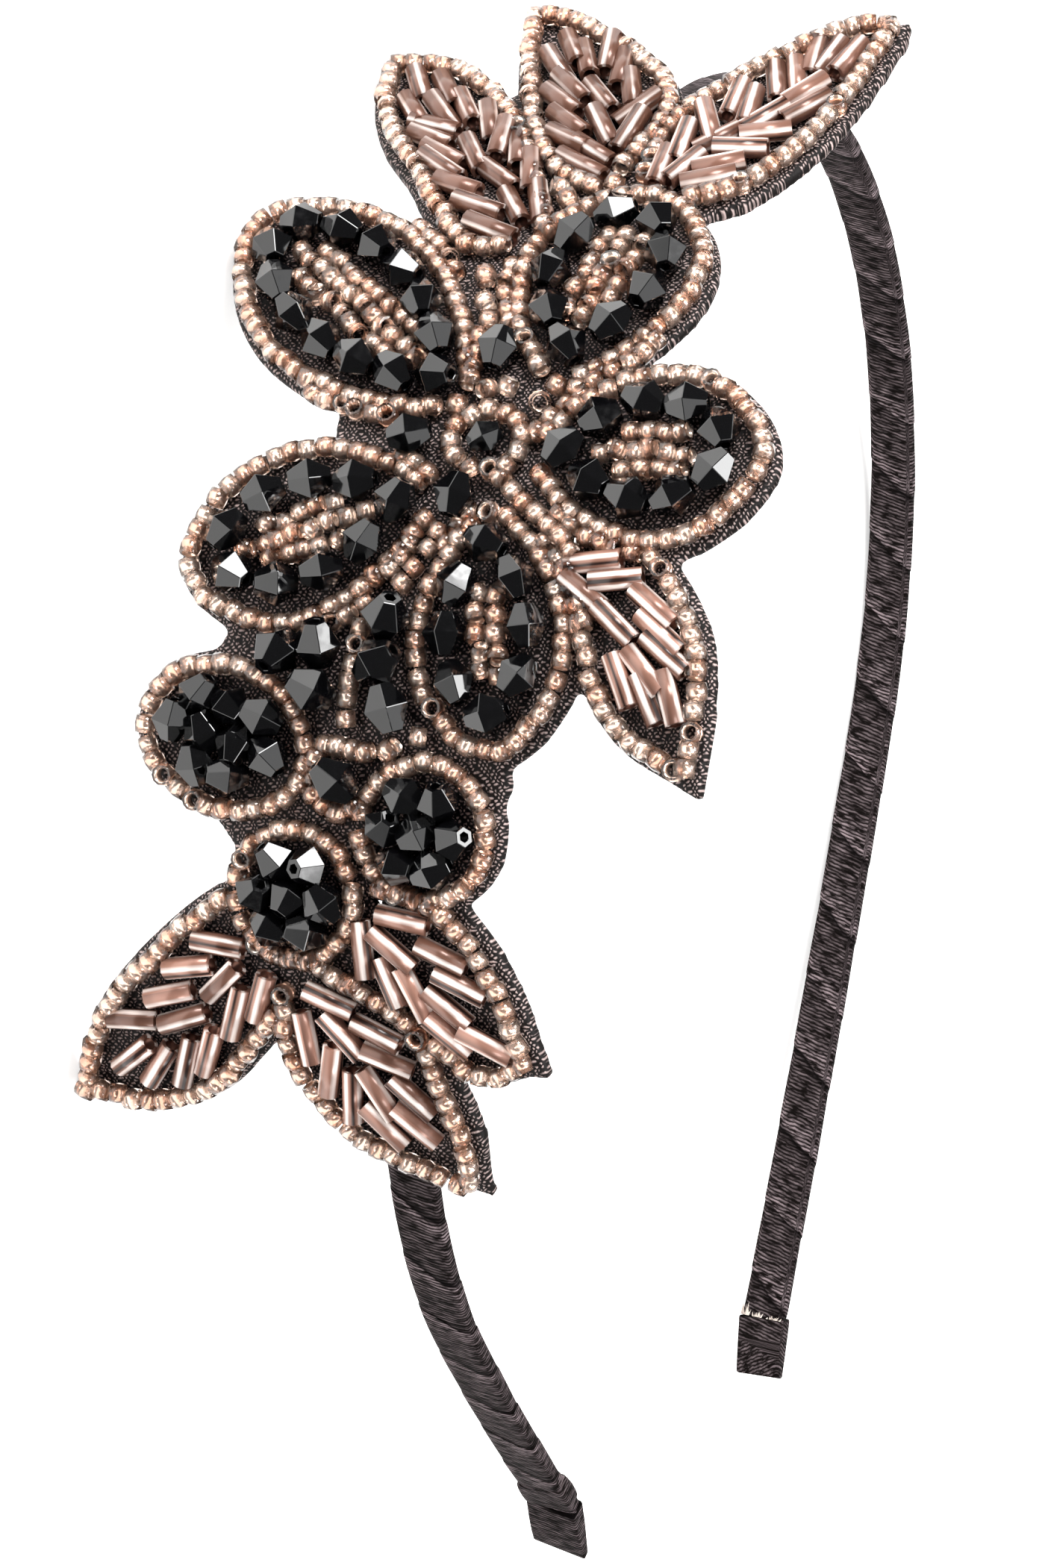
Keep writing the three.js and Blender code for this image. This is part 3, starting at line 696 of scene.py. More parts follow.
# %% The motifs: where each petal, leaf and berry lies, as across and down in millimetres
PETALS = [
    {"name": "petal_top_left", "root": (2.9, 56.8), "tip": (29.8, 40.4), "width": 16.8},
    {"name": "petal_top_right", "root": (-5.4, 53.6), "tip": (-7.2, 30.6), "width": 17.0},
    {"name": "petal_right", "root": (-5.6, 60.8), "tip": (-27.4, 57.8), "width": 16.2},
    {"name": "petal_left", "root": (2.8, 66.0), "tip": (25.0, 75.8), "width": 15.6},
    {"name": "petal_bottom", "root": (-3.2, 66.6), "tip": (-8.4, 87.6), "width": 14.4},
]
# The top leaves get a painted shade: more light falls on them, so their bugles are drawn darker and their
# painted streaks dimmer.
LEAVES = [
    {"name": "leaf_top_left", "painted_shade": 0.75,
     "near_side": [(2.0, 36.4), (8.0, 26.0), (12.9, 20.4), (17.1, 17.4), (21.5, 16.3)], "tip": (25.6, 16.8),
     "far_side": [(24.5, 21.8), (21.6, 26.7), (17.4, 30.9), (13.3, 35.9), (8.8, 39.6), (5.2, 39.6)]},
    {"name": "leaf_top_middle", "painted_shade": 0.9,
     "near_side": [(-2.6, 27.0), (-4.0, 20.0), (-2.2, 14.8), (1.6, 11.6), (6.2, 9.0), (10.2, 7.5)],
     "tip": (14.0, 7.2), "far_side": [(12.8, 12.2), (10.4, 18.6), (7.1, 24.8), (3.3, 28.8), (-0.6, 30.4)]},
    {"name": "leaf_top_right", "painted_shade": 0.4,
     "near_side": [(-5.0, 27.6), (-5.0, 20.4), (-9.6, 12.5), (-14.2, 7.2), (-18.0, 3.5)], "tip": (-21.6, 2.8),
     "far_side": [(-21.1, 7.6), (-20.4, 13.2), (-18.4, 20.6), (-14.6, 27.4), (-10.6, 30.2)]},
    {"name": "leaf_side", "painted_shade": 0.0,
     "near_side": [(-12.0, 71.0), (-14.6, 75.0), (-16.4, 79.8), (-20.6, 84.2)], "tip": (-27.0, 86.8),
     "far_side": [(-26.9, 81.3), (-25.6, 75.5), (-22.6, 71.3), (-19.6, 68.6)]},
    {"name": "leaf_bottom_left", "painted_shade": 0.0,
     "near_side": [(17.2, 104.6), (21.2, 108.0), (25.8, 113.0), (29.6, 118.4)], "tip": (32.2, 125.9),
     "far_side": [(24.7, 125.8), (18.4, 123.0), (14.4, 118.6), (11.4, 114.6)]},
    {"name": "leaf_bottom_middle", "painted_shade": 0.0,
     "near_side": [(10.6, 112.3), (10.0, 117.7), (7.3, 122.0), (3.2, 125.5), (-2.2, 127.3)],
     "tip": (-7.8, 128.6),
     "far_side": [(-7.4, 123.4), (-4.9, 117.8), (-2.0, 113.0), (4.0, 110.4)]},
    {"name": "leaf_bottom_right", "painted_shade": 0.0,
     "near_side": [(1.2, 101.2), (-3.6, 101.8), (-8.0, 104.7), (-11.6, 109.6)], "tip": (-13.9, 115.2),
     "far_side": [(-9.5, 116.8), (-5.2, 114.6)]},
]
BERRIES = [
    {"name": "berry_left", "centre": (18.4, 90.2), "half": (8.4, 6.2), "turn": -10, "rows": (3, 4, 2)},
    {"name": "berry_middle", "centre": (9.8, 103.0), "half": (6.0, 5.8), "rows": (2, 3, 2)},
    {"name": "berry_right", "centre": (-2.5, 95.5), "half": (6.3, 6.0), "rows": (2, 3, 2)},
]
PATCHES = [
    {"centre": (-1, 60), "half": (12, 11)},
    {"centre": (5, 86), "half": (12, 12)},
    {"centre": (2, 29), "half": (12, 9)},
    {"centre": (13, 96), "half": (6, 5)},
    {"centre": (4, 109), "half": (11, 6)},
    {"centre": (-14, 73), "half": (5, 6)},
    {"centre": (2, 71), "half": (4.5, 4.5)},
    {"centre": (7, 41.5), "half": (4.5, 3.5)},
    {"centre": (17, 82.5), "half": (4, 3)},
    {"centre": (-6, 90.5), "half": (4, 3.5)},
    {"centre": (10.8, 113.5), "half": (3.5, 4.5)},
    {"centre": (4.5, 47), "half": (4, 5)},
    {"centre": (11, 60), "half": (4, 3.5)},
]
print("motifs:", len(PETALS) + len(LEAVES) + len(BERRIES))

# %% Outlines of petals
PETAL_FORM = {"belly": 1.2, "fullness": 0.56}
LINE_POINTS = 60
TIP_PACKING = 1.6


def half_width(share):
    """Half the width of a petal of unit width: a sine hump with its belly nearer one end."""
    hump = np.clip(np.sin(np.pi * np.clip(share, 0, 1) ** PETAL_FORM["belly"]), 0, None)
    return hump ** PETAL_FORM["fullness"] / 2


def petal_ways(petal):
    """Root of a petal, the directions along and across it, and its length."""
    root = np.array(petal["root"])
    axis = np.array(petal["tip"]) - root
    length = np.linalg.norm(axis)
    return root, axis / length, np.array([-axis[1], axis[0]]) / length, length


def on_petal(petal, along_share, aside):
    """Flat places at shares of a petal's length and distances beside its middle line."""
    root, ahead, sideways, length = petal_ways(petal)
    return root + np.outer(along_share * length, ahead) + np.outer(aside, sideways)


def petal_line(petal, start=0.0):
    """Outline from the root round the tip and back, with its points closer at the tip."""
    share = 1 - (1 - start) * np.linspace(1, 0, LINE_POINTS) ** TIP_PACKING
    aside = half_width(share) * petal["width"]
    return np.concatenate([on_petal(petal, share, aside), on_petal(petal, share, -aside)[-2::-1]])


def grown(petal, margin):
    """The same petal, larger or smaller by a margin all round."""
    root, ahead, _, _ = petal_ways(petal)
    tip = np.array(petal["tip"]) + ahead * margin
    return {**petal, "root": root - ahead * margin, "tip": tip, "width": petal["width"] + 2 * margin}


print("length of the first petal:", round(petal_ways(PETALS[0])[3], 1), "mm")

# %% Outlines of leaves and ovals
SPLINE_STEPS = 8


def smooth_line(points):
    """A line through the points that rounds every corner."""
    points = np.array(points)
    before = np.concatenate([2 * points[:1] - points[1:2], points[:-1]])
    after = np.concatenate([points[1:], 2 * points[-1:] - points[-2:-1]])
    way = (after - before) / 2
    t = np.linspace(0, 1, SPLINE_STEPS, endpoint=False)[:, None]
    line = []
    for k in range(len(points) - 1):
        line.append((2 * t**3 - 3 * t**2 + 1) * points[k] + (t**3 - 2 * t**2 + t) * way[k]
                    + (3 * t**2 - 2 * t**3) * points[k + 1] + (t**3 - t**2) * way[k + 1])
    return np.concatenate(line + [points[-1:]])


def leaf_line(leaf):
    """Bead line of a leaf, round its two sides with a sharp tip between them, and where the tip is in it."""
    near_side = smooth_line(leaf["near_side"] + [leaf["tip"]])
    line = np.concatenate([near_side, smooth_line([leaf["tip"]] + leaf["far_side"])[1:]])
    return line, len(near_side) - 1


def leaf_edge(leaf):
    """Cut edge of the cloth under a leaf: a margin outside its beads, drawn out to a point at the tip."""
    line, at_tip = leaf_line(leaf)
    way = np.gradient(line, axis=0)
    beside = np.stack([way[:, 1], -way[:, 0]], axis=1) / np.linalg.norm(way, axis=1)[:, None]
    outside = np.sign(((line - line.mean(axis=0)) * beside).sum())
    edge = line + SHEET["margin"] * outside * beside
    ahead = line[at_tip] - (line[0] + line[-1]) / 2
    edge[at_tip] = line[at_tip] + ahead / np.linalg.norm(ahead) * SHEET["leaf_point"]
    return np.concatenate([edge, edge[:1]])


def in_oval(oval, x, y):
    """Flat places from distances along an oval's own axes; it lies straight unless it says its turn."""
    turned = math.radians(oval.get("turn", 0))
    flat = np.stack([x * math.cos(turned) - y * math.sin(turned),
                     x * math.sin(turned) + y * math.cos(turned)], axis=1)
    return flat + oval["centre"]


def oval_line(oval, margin=0.0, start=0.0, end=1.0):
    angle = 2 * math.pi * np.linspace(start, end, LINE_POINTS)
    half_x, half_y = oval["half"]
    return in_oval(oval, (half_x + margin) * np.cos(angle), (half_y + margin) * np.sin(angle))


print("round the left berry:", len(oval_line(BERRIES[0])), "points")

# %% [markdown]
# ## Backing cloth
# Under the beads lies one stiff piece of cloth, cut out a little wider than the motifs. Each outline
# starts as a filled circle, is pulled to its shape and extruded to the cloth's thickness. Joining them with
# booleans leaves slivers where outlines nearly touch. A voxel remesh melts the overlapping slabs into
# one skin with even faces, and smoothing then gives the cut edge its soft roll.

# %% Cut a slab for each outline
CLOTH = {"voxel": 0.45, "smoothing": 7, "swell": 0.12}


def flat_slab(outline):
    start_fresh()
    outline = outline[:-1]
    bpy.ops.mesh.primitive_circle_add(vertices=len(outline), radius=1, fill_type="NGON")
    slab = bpy.context.object
    flat = np.column_stack([outline, np.full(len(outline), SHEET_UNDERSIDE)])
    place_straight(slab.data, flat)
    bpy.ops.object.mode_set(mode="EDIT")
    bpy.ops.mesh.select_all(action="SELECT")
    rise_by = (SHEET["thickness"] + CLOTH["swell"]) * MM
    bpy.ops.mesh.extrude_region_move(TRANSFORM_OT_translate={"value": (0, 0, rise_by)})
    bpy.ops.mesh.select_all(action="SELECT")
    bpy.ops.mesh.normals_make_consistent(inside=False)
    bpy.ops.object.mode_set(mode="OBJECT")
    return slab


outlines = [petal_line(grown(petal, SHEET["margin"])) for petal in PETALS]
outlines += [leaf_edge(leaf) for leaf in LEAVES]
outlines += [oval_line(berry, SHEET["margin"]) for berry in BERRIES]
outlines += [oval_line(patch) for patch in PATCHES]
slabs = [flat_slab(outline) for outline in outlines]
print("slabs of cloth:", len(slabs))

# %% Melt them into one, smooth it and bend it
def apply_modifier(piece, kind, **settings):
    bpy.context.view_layer.objects.active = piece
    added = piece.modifiers.new(kind.lower(), kind)
    for name, value in settings.items():
        setattr(added, name, value)
    bpy.ops.object.modifier_apply(modifier=added.name)


start_fresh()
for slab in slabs:
    slab.select_set(True)
cloth = slabs[0]
bpy.context.view_layer.objects.active = cloth
bpy.ops.object.join()
cloth.name = "backing_cloth"
apply_modifier(cloth, "REMESH", mode="VOXEL", voxel_size=CLOTH["voxel"] * MM, use_smooth_shade=True)
apply_modifier(cloth, "SMOOTH", factor=0.5, iterations=CLOTH["smoothing"])

flat_places = places_of(cloth.data)
map_cloth(cloth.data, flat_places[:, :2])
place_worn(cloth.data, on_sheet(flat_places[:, :2], flat_places[:, 2]))
hand_in(cloth, ["backing"], [weave])

# %% [markdown]
# ## Three beads
# Everything on the cloth is one of three beads. Each is modelled once, lying along X, with few faces,
# because it is strung hundreds of times. The faces of the hole are the mirror lining.

# %% Take a modelled bead off the scene, as arrays to string
def take_bead(model, lining=None, smooth=True):
    """Vertices in millimetres, faces, and which faces are lining: those nearer the axis than lining.

    Smooth faces are those that do not look straight along the bead. A longer bead later gets painted streaks
    of highlight and shade, and more than one place along it that counts as taken."""
    bead = {
        "vertices": places_of(model.data),
        "faces": [list(face.vertices) for face in model.data.polygons],
        "finish": [
            int(lining is not None and math.hypot(face.center.y, face.center.z) < lining * MM)
            for face in model.data.polygons
        ],
        "smooth": [smooth and abs(face.normal.x) < 0.99 for face in model.data.polygons],
        "painted_streak": np.zeros(len(model.data.vertices)),
        "reach": (0,),
    }
    mesh = model.data
    bpy.data.objects.remove(model)
    bpy.data.meshes.remove(mesh)
    print("faces of this bead:", len(bead["faces"]))
    return bead


def lie_along_x():
    bpy.ops.mesh.select_all(action="SELECT")
    bpy.ops.transform.rotate(value=math.pi / 2, orient_axis="Y", center_override=(0, 0, 0))
    bpy.ops.object.mode_set(mode="OBJECT")


# %% [markdown]
# ### Seed bead
# A slice of glass tube, tumbled until it is a fat ring. A torus is that shape already, once it is
# stretched along its axis to the bead's length.

# %% Seed bead
SEED = {"diameter": 2.15, "hole": 1.2, "length": 1.6, "pitch": 1.66, "sides": 10, "rings": 6, "lining": 1.4}

start_fresh()
seed_wall = (SEED["diameter"] - SEED["hole"]) / 4
bpy.ops.mesh.primitive_torus_add(
    major_segments=SEED["sides"], minor_segments=SEED["rings"],
    major_radius=(SEED["diameter"] - 2 * seed_wall) / 2 * MM, minor_radius=seed_wall * MM)
bpy.ops.object.mode_set(mode="EDIT")
ring_reach = seed_wall * math.sin(2 * math.pi / SEED["rings"])
bpy.ops.transform.resize(value=(1, 1, SEED["length"] / 2 / ring_reach), center_override=(0, 0, 0))
lie_along_x()
seed_bead = take_bead(bpy.context.object, lining=SEED["diameter"] / 2 - SEED["lining"] * seed_wall)

# %% [markdown]
# ### Bugle bead
# The same tube cut longer and left with its clean ends: an open cylinder given a wall, which leaves flat
# rings at both ends. A cut close to each end keeps the long sides straight in the light.

# %% Bugle bead
BUGLE = {"diameter": 2.1, "hole": 1.3, "length": 5.3, "sides": 10, "rim": 0.1, "lining": 1.02}
# Painted reflections of the square hole's flats, one for each side of the tube: positive is highlight,
# negative is shade.
PAINTED_STREAKS = [0.9, -0.8, 0.7, -0.1, -0.3] * 2

start_fresh()
bpy.ops.mesh.primitive_cylinder_add(
    vertices=BUGLE["sides"], radius=BUGLE["diameter"] / 2 * MM, depth=BUGLE["length"] * MM,
    end_fill_type="NOTHING")
bugle_model = bpy.context.object
bpy.ops.object.mode_set(mode="EDIT")
for end in (-1, 1):
    bpy.ops.mesh.select_all(action="SELECT")
    rim_at = end * (BUGLE["length"] / 2 - BUGLE["rim"]) * MM
    bpy.ops.mesh.bisect(plane_co=(0, 0, rim_at), plane_no=(0, 0, 1))
bpy.ops.object.mode_set(mode="OBJECT")
apply_modifier(bugle_model, "SOLIDIFY", thickness=(BUGLE["diameter"] - BUGLE["hole"]) / 2 * MM, offset=-1)
bpy.ops.object.mode_set(mode="EDIT")
lie_along_x()
bugle_bead = take_bead(bugle_model, lining=BUGLE["hole"] / 2 * BUGLE["lining"])
_, bugle_y, bugle_z = bugle_bead["vertices"].T
side_at = np.arctan2(bugle_z, bugle_y) / (2 * math.pi) * BUGLE["sides"]
bugle_bead["painted_streak"] = np.array(PAINTED_STREAKS)[np.rint(side_at).astype(int) % BUGLE["sides"]]
bugle_bead["reach"] = (-BUGLE["length"] / 3, 0, BUGLE["length"] / 3)

# %% [markdown]
# ### Bicone crystal
# Two six-sided cones, base to base, with their points cut off for the hole. One cone is modelled and
# mirrored. A hair-thin bevel on the edges catches light as a ground edge does.

# %% Pick faces by the way that they look
def pick_faces(piece, wanted):
    """Go to edit mode with only the faces selected whose normal passes the test."""
    bpy.ops.object.mode_set(mode="EDIT")
    bpy.ops.mesh.select_mode(type="FACE")
    bpy.ops.mesh.select_all(action="DESELECT")
    bpy.ops.object.mode_set(mode="OBJECT")
    for face in piece.data.polygons:
        face.select = bool(wanted(face.normal))
    bpy.ops.object.mode_set(mode="EDIT")


# %% Bicone crystal
BICONE = {"radius": 2.2, "end": 0.45, "half_length": 0.93, "sides": 6, "edge": 0.045, "hole": 0.42,
          "hole_depth": 0.6, "bevel_from": 20.0, "merge": 0.001}

start_fresh()
half_length = BICONE["radius"] * BICONE["half_length"]
hole_depth = BICONE["hole_depth"] * half_length
bpy.ops.mesh.primitive_cone_add(
    vertices=BICONE["sides"], radius1=BICONE["radius"] * MM, radius2=BICONE["radius"] * BICONE["end"] * MM,
    depth=half_length * MM, location=(0, 0, half_length / 2 * MM))
bicone_model = bpy.context.object
bpy.ops.object.transform_apply(location=True, rotation=True, scale=True)
pick_faces(bicone_model, lambda normal: normal.z < -0.9)
bpy.ops.mesh.delete(type="FACE")
pick_faces(bicone_model, lambda normal: normal.z > 0.9)
bpy.ops.mesh.inset(thickness=BICONE["hole"] * MM)
bpy.ops.mesh.extrude_region_move(TRANSFORM_OT_translate={"value": (0, 0, -hole_depth * MM)})
bpy.ops.object.mode_set(mode="OBJECT")
apply_modifier(bicone_model, "MIRROR", use_axis=(False, False, True), merge_threshold=BICONE["merge"] * MM)
apply_modifier(bicone_model, "BEVEL", width=BICONE["edge"] * MM, segments=1, limit_method="ANGLE",
               angle_limit=math.radians(BICONE["bevel_from"]))
bpy.ops.object.mode_set(mode="EDIT")
lie_along_x()
bicone_bead = take_bead(bicone_model, smooth=False)

# %% [markdown]
# ## Stringing
# Hundreds of copies are too many to place one by one, so the beads are strung in arrays: a list of
# flat places, a heading for each, and small differences in size, tilt and turn. The joined copies are
# one mesh, which stands for one solid of the frame.

# %% Walk a line, and turn beads
def walk(line, pitch, closed=False):
    """Even stops along a line, about a pitch apart, and the heading at each."""
    reach = np.concatenate([[0], np.cumsum(np.linalg.norm(np.diff(line, axis=0), axis=1))])
    stops = np.linspace(0, reach[-1], max(1, round(reach[-1] / pitch)) + 1)
    stops = stops[:-1] if closed else stops

    def at(distance):
        return np.stack([np.interp(distance, reach, line[:, axis]) for axis in (0, 1)], axis=1)

    ahead = at(np.minimum(stops + pitch / 3, reach[-1])) - at(np.maximum(stops - pitch / 3, 0))
    return at(stops), np.arctan2(ahead[:, 1], ahead[:, 0])


def turned_about(axis, angle):
    """Turns about one of the axes 0, 1 or 2, one 3 by 3 turn for each angle."""
    turn = np.zeros((len(angle), 3, 3))
    first, second = (axis + 1) % 3, (axis + 2) % 3
    turn[:, axis, axis] = 1
    turn[:, first, first] = turn[:, second, second] = np.cos(angle)
    turn[:, second, first] = np.sin(angle)
    turn[:, first, second] = -np.sin(angle)
    return turn


print("stops on a line of 10 mm:", len(walk(np.array([[0.0, 0.0], [10.0, 0.0]]), SEED["pitch"])[0]))

# %% Join copies of a bead
SEAT = 0.25
SEAT_HEIGHT = SHEET_TOP + GAP - SEAT
TONE_SPREAD = (1.6, 2.2)
SHINE = {"least": 0.6, "most": 1.0, "lost_in_painted_shade": 0.55}
taken = []


def string(name, bead, flat, heading, height, finishes, node_names, size=1.0, tilt=0.0, stretch=1.0,
           painted_shade=0.0):
    """Copies of one bead at flat places, joined as one piece; the last argument is a painted shade, which
    raises the least tone of its glass and dims its painted streaks.
    """
    count = len(flat)
    spread = np.ones(count)
    ahead = np.stack([np.cos(heading), np.sin(heading)], axis=1)
    for reach in bead["reach"]:
        taken.extend(zip(flat + reach * ahead, spread * size * np.abs(bead["vertices"][:, 1:]).max()))
    turn = sheet_ways(flat[:, 1]) @ turned_about(2, heading) @ turned_about(1, tilt * spread)
    turn = turn @ turned_about(0, rng.uniform(0, 2 * math.pi, count))
    shape = bead["vertices"][None] * (size * spread)[:, None, None]
    shape = shape * np.stack([stretch * spread, spread, spread], axis=1)[:, None, :]
    worn = on_sheet(flat, height * spread)[:, None, :] + np.einsum("nij,nvj->nvi", turn, shape)
    piece = joined_copies(name, worn, bead["faces"])
    piece.data.polygons.foreach_set("use_smooth", bead["smooth"] * count)
    # For the top leaves the tone is raised by a painted shade.
    tone = painted_shade + (1 - painted_shade) * rng.beta(*TONE_SPREAD, count)
    mark(piece.data, "tone", np.repeat(tone, len(bead["vertices"])))
    shine = rng.uniform(SHINE["least"], SHINE["most"], count) - SHINE["lost_in_painted_shade"] * painted_shade
    # Painted streaks of highlight and shade, each bead with its own strength.
    mark(piece.data, "painted_streak", np.outer(shine, bead["painted_streak"]).ravel())
    hand_in(piece, node_names, finishes)
    piece.data.polygons.foreach_set("material_index", bead["finish"] * count)


print("beads sit", round(SEAT_HEIGHT - SHEET_TOP, 2), "mm over the cloth")

# %% String seeds and crystals
SEED_HAND = {"on_end": 0.025, "rise": 0.07, "uneven": 0.035}


def seed_string(name, flat, heading, node_names, lift=0.0, drift=0.1, lean=0.13):
    """Seed beads on thread: they lean a little, and now and then one stands on its end."""
    count = len(flat)
    on_end = rng.random(count) < SEED_HAND["on_end"]
    tilt = np.where(on_end, math.pi / 2, rng.normal(0, lean, count))
    rise = np.abs(rng.normal(0, SEED_HAND["rise"], count))
    height = SEAT_HEIGHT + SEED["diameter"] / 2 + lift + rise
    flat = flat + rng.normal(0, drift, (count, 2))
    string(name, seed_bead, flat, heading + rng.normal(0, lean, count), height,
           [seed_glass, seed_mirror], node_names,
           size=rng.normal(1, SEED_HAND["uneven"], count), tilt=tilt)


def crystal_string(name, flat, heading, node_names, size=1.0, lean=0.22):
    count = len(flat)
    height = SEAT_HEIGHT + BICONE["radius"] * size
    string(name, bicone_bead, flat, heading + rng.normal(0, lean, count), height,
           [jet], node_names, size=size, tilt=rng.normal(0, lean, count))


print("one seed in", round(1 / SEED_HAND["on_end"]), "stands on its end")

# %% [markdown]
# ## Petals
# Each of the five petals has an outline of seed beads, a ring of crystals inside it, and rows of seed
# beads down the middle, heaped a little higher than the outline. Near its root the outline is sewn twice
# here and there.

# %% Rows of seeds in the middle of a petal
OUTLINE_HALF = 0.8
CRYSTAL_INSET = OUTLINE_HALF + GAP + BICONE["radius"]
ROW_INSET = CRYSTAL_INSET + BICONE["radius"] + GAP
ROWS = {"spacing": 1.75, "room": 0.5, "start": 0.3, "stagger": 0.5, "overhang": 0.25, "heap": 0.9,
        "heap_beside": 0.5, "heap_ends": 0.1}


def seed_rows(petal):
    """Rows along the petal that fill the middle of its ring of crystals."""
    inner = grown(petal, -ROW_INSET)
    _, ahead, _, length = petal_ways(inner)
    rows = max(2, round((inner["width"] + ROWS["room"]) / ROWS["spacing"]))
    flat, lift = [], []
    for k in range(rows):
        aside = (k - (rows - 1) / 2) * ROWS["spacing"]
        share = np.arange(ROWS["start"] + ROWS["stagger"] * (k % 2), length, SEED["pitch"]) / length
        room = half_width(share) * inner["width"]
        share = share[room > abs(aside) - ROWS["overhang"]]
        flat.append(on_petal(inner, share, np.full(len(share), aside)))
        beside = aside / (inner["width"] / 2 + ROWS["heap_beside"])
        along = np.clip(share, ROWS["heap_ends"], 1 - ROWS["heap_ends"])
        lift.append(ROWS["heap"] * (1 - beside ** 2) * np.sin(np.pi * along))
    flat = np.concatenate(flat)
    return flat, np.full(len(flat), math.atan2(ahead[1], ahead[0])), np.concatenate(lift)


print("seeds in the rows of the first petal:", len(seed_rows(PETALS[0])[0]))

# %% Outline, second row, crystals and rows of each petal
CRYSTAL_PITCH = 4.4
ROW_START = 0.05
SECOND_ROW = {"offset": 1.2, "rhythm": 0.42, "phases": 6, "gaps": 0.3, "lift": -0.2, "reach": 0.6}

for petal in PETALS:
    name = petal["name"]
    flat, heading = walk(petal_line(petal, ROW_START), SEED["pitch"])
    seed_string(f"{name}_seed_outline", flat, heading, [f"{name}_outline"])
    wider = grown(petal, SECOND_ROW["offset"])
    flat, heading = walk(petal_line(wider, ROW_START), SEED["pitch"])
    beat = SECOND_ROW["rhythm"] * np.arange(len(flat)) + rng.uniform(0, SECOND_ROW["phases"])
    sewn = np.sin(beat) > SECOND_ROW["gaps"]
    root, ahead, _, length = petal_ways(petal)
    sewn &= (flat - root) @ ahead < SECOND_ROW["reach"] * length
    seed_string(f"{name}_second_row", flat[sewn], heading[sewn], [], lift=SECOND_ROW["lift"], lean=0.25)
    flat, heading = walk(petal_line(grown(petal, -CRYSTAL_INSET)), CRYSTAL_PITCH, closed=True)
    crystal_string(f"{name}_crystal_ring", flat, heading, [f"{name}_crystals"])
    flat, heading, lift = seed_rows(petal)
    seed_string(f"{name}_seed_rows", flat, heading, [f"{name}_seeds"], lift=lift, drift=0.16, lean=0.35)

# %% [markdown]
# ## Leaves
# A leaf is an outline of seed beads filled with bugle beads that slant off its middle line to both
# sides, like barbs on a feather. They could be laid out by a rule, but the maker sewed them by eye, each a
# little off its neighbour, and each can be told apart. So each has its own place and heading.

# %% Bugles one by one: across, down and heading in degrees
BUGLES = {
    "leaf_top_left": [
        (21.8, 19.6, 122), (21.0, 23.2, 131), (18.7, 19.8, 128), (17.8, 23.2, 138), (15.8, 22.1, 127),
        (17.6, 26.9, 163), (17.9, 25.2, 171), (15.1, 30.5, 152), (15.5, 28.8, 157), (12.5, 28.4, 128),
        (12.4, 32.9, 166), (12.8, 23.6, 115), (10.7, 25.7, 100), (8.5, 26.9, 111), (8.9, 30.9, 149),
        (9.3, 35.4, 165), (7.0, 38.0, 167), (6.2, 29.6, 110), (6.0, 34.6, 129), (3.7, 33.6, 115),
    ],
    "leaf_top_middle": [
        (8.5, 11.9, 124), (9.1, 14.6, 133), (6.6, 13.1, 119), (4.6, 11.9, 102), (6.6, 17.2, 141),
        (6.8, 19.4, 149), (2.6, 13.8, 102), (5.0, 22.1, 146), (3.2, 18.0, 136), (0.6, 16.5, 114),
        (4.2, 24.5, 157), (1.4, 22.3, 128), (-1.0, 19.0, 55), (1.6, 27.8, 159), (-1.4, 22.2, 82),
        (1.2, 25.6, 155),
    ],
    "leaf_top_right": [
        (-15.6, 8.8, 98), (-17.2, 8.6, 80), (-18.9, 8.3, 80), (-13.2, 13.0, 112), (-14.9, 12.0, 112),
        (-16.4, 13.8, 58), (-17.2, 15.9, 54), (-11.8, 16.8, 98), (-10.0, 16.0, 93), (-13.6, 18.1, 52),
        (-14.6, 20.2, 24), (-12.9, 22.6, 10), (-10.3, 21.9, 40), (-8.7, 20.0, 120), (-7.0, 22.9, 94),
        (-8.4, 26.2, 70), (-11.6, 25.2, 24), (-11.4, 27.4, 24), (-6.2, 26.6, 94),
    ],
    "leaf_side": [
        (-14.4, 69.8, 13), (-17.0, 71.1, 15), (-14.0, 72.6, 151), (-17.8, 74.9, 146), (-21.1, 72.9, 149),
        (-22.3, 75.1, 148), (-23.2, 76.8, 149), (-21.5, 78.6, 140), (-19.4, 79.7, 121), (-22.3, 80.9, 124),
        (-24.4, 80.5, 116),
    ],
    "leaf_bottom_left": [
        (17.3, 108.8, 0), (20.3, 111.4, 15), (16.8, 112.2, 49), (22.4, 114.5, 19), (20.9, 116.6, 24),
        (15.5, 115.0, 77), (12.9, 113.1, 75), (26.3, 117.7, 9), (26.4, 121.3, 44), (23.8, 121.8, 60),
        (20.8, 120.8, 77), (18.4, 119.4, 73),
    ],
    "leaf_bottom_middle": [
        (5.8, 112.2, 162), (0.9, 114.5, 165), (4.5, 115.3, 137), (-0.1, 117.0, 163), (8.2, 116.2, 104),
        (5.7, 118.9, 81), (3.6, 121.2, 90), (0.8, 120.3, 125), (-2.6, 120.1, 140), (0.3, 123.5, 138),
        (-2.8, 123.0, 142),
    ],
    "leaf_bottom_right": [
        (-1.3, 103.5, 177), (2.5, 106.8, 101), (-0.5, 106.3, 147), (-5.4, 106.2, 162), (-0.3, 109.4, 119),
        (-2.8, 110.0, 121), (-7.4, 108.5, 161), (-6.2, 110.8, 148), (-6.4, 113.4, 146), (-10.1, 113.5, 158),
    ],
}
print("bugles charted:", sum(len(laid) for laid in BUGLES.values()))

# %% Outline and bugles of each leaf
BUGLE_HAND = {"lift": 0.3, "lean": 0.06, "shortest": 0.92, "longest": 1.06}

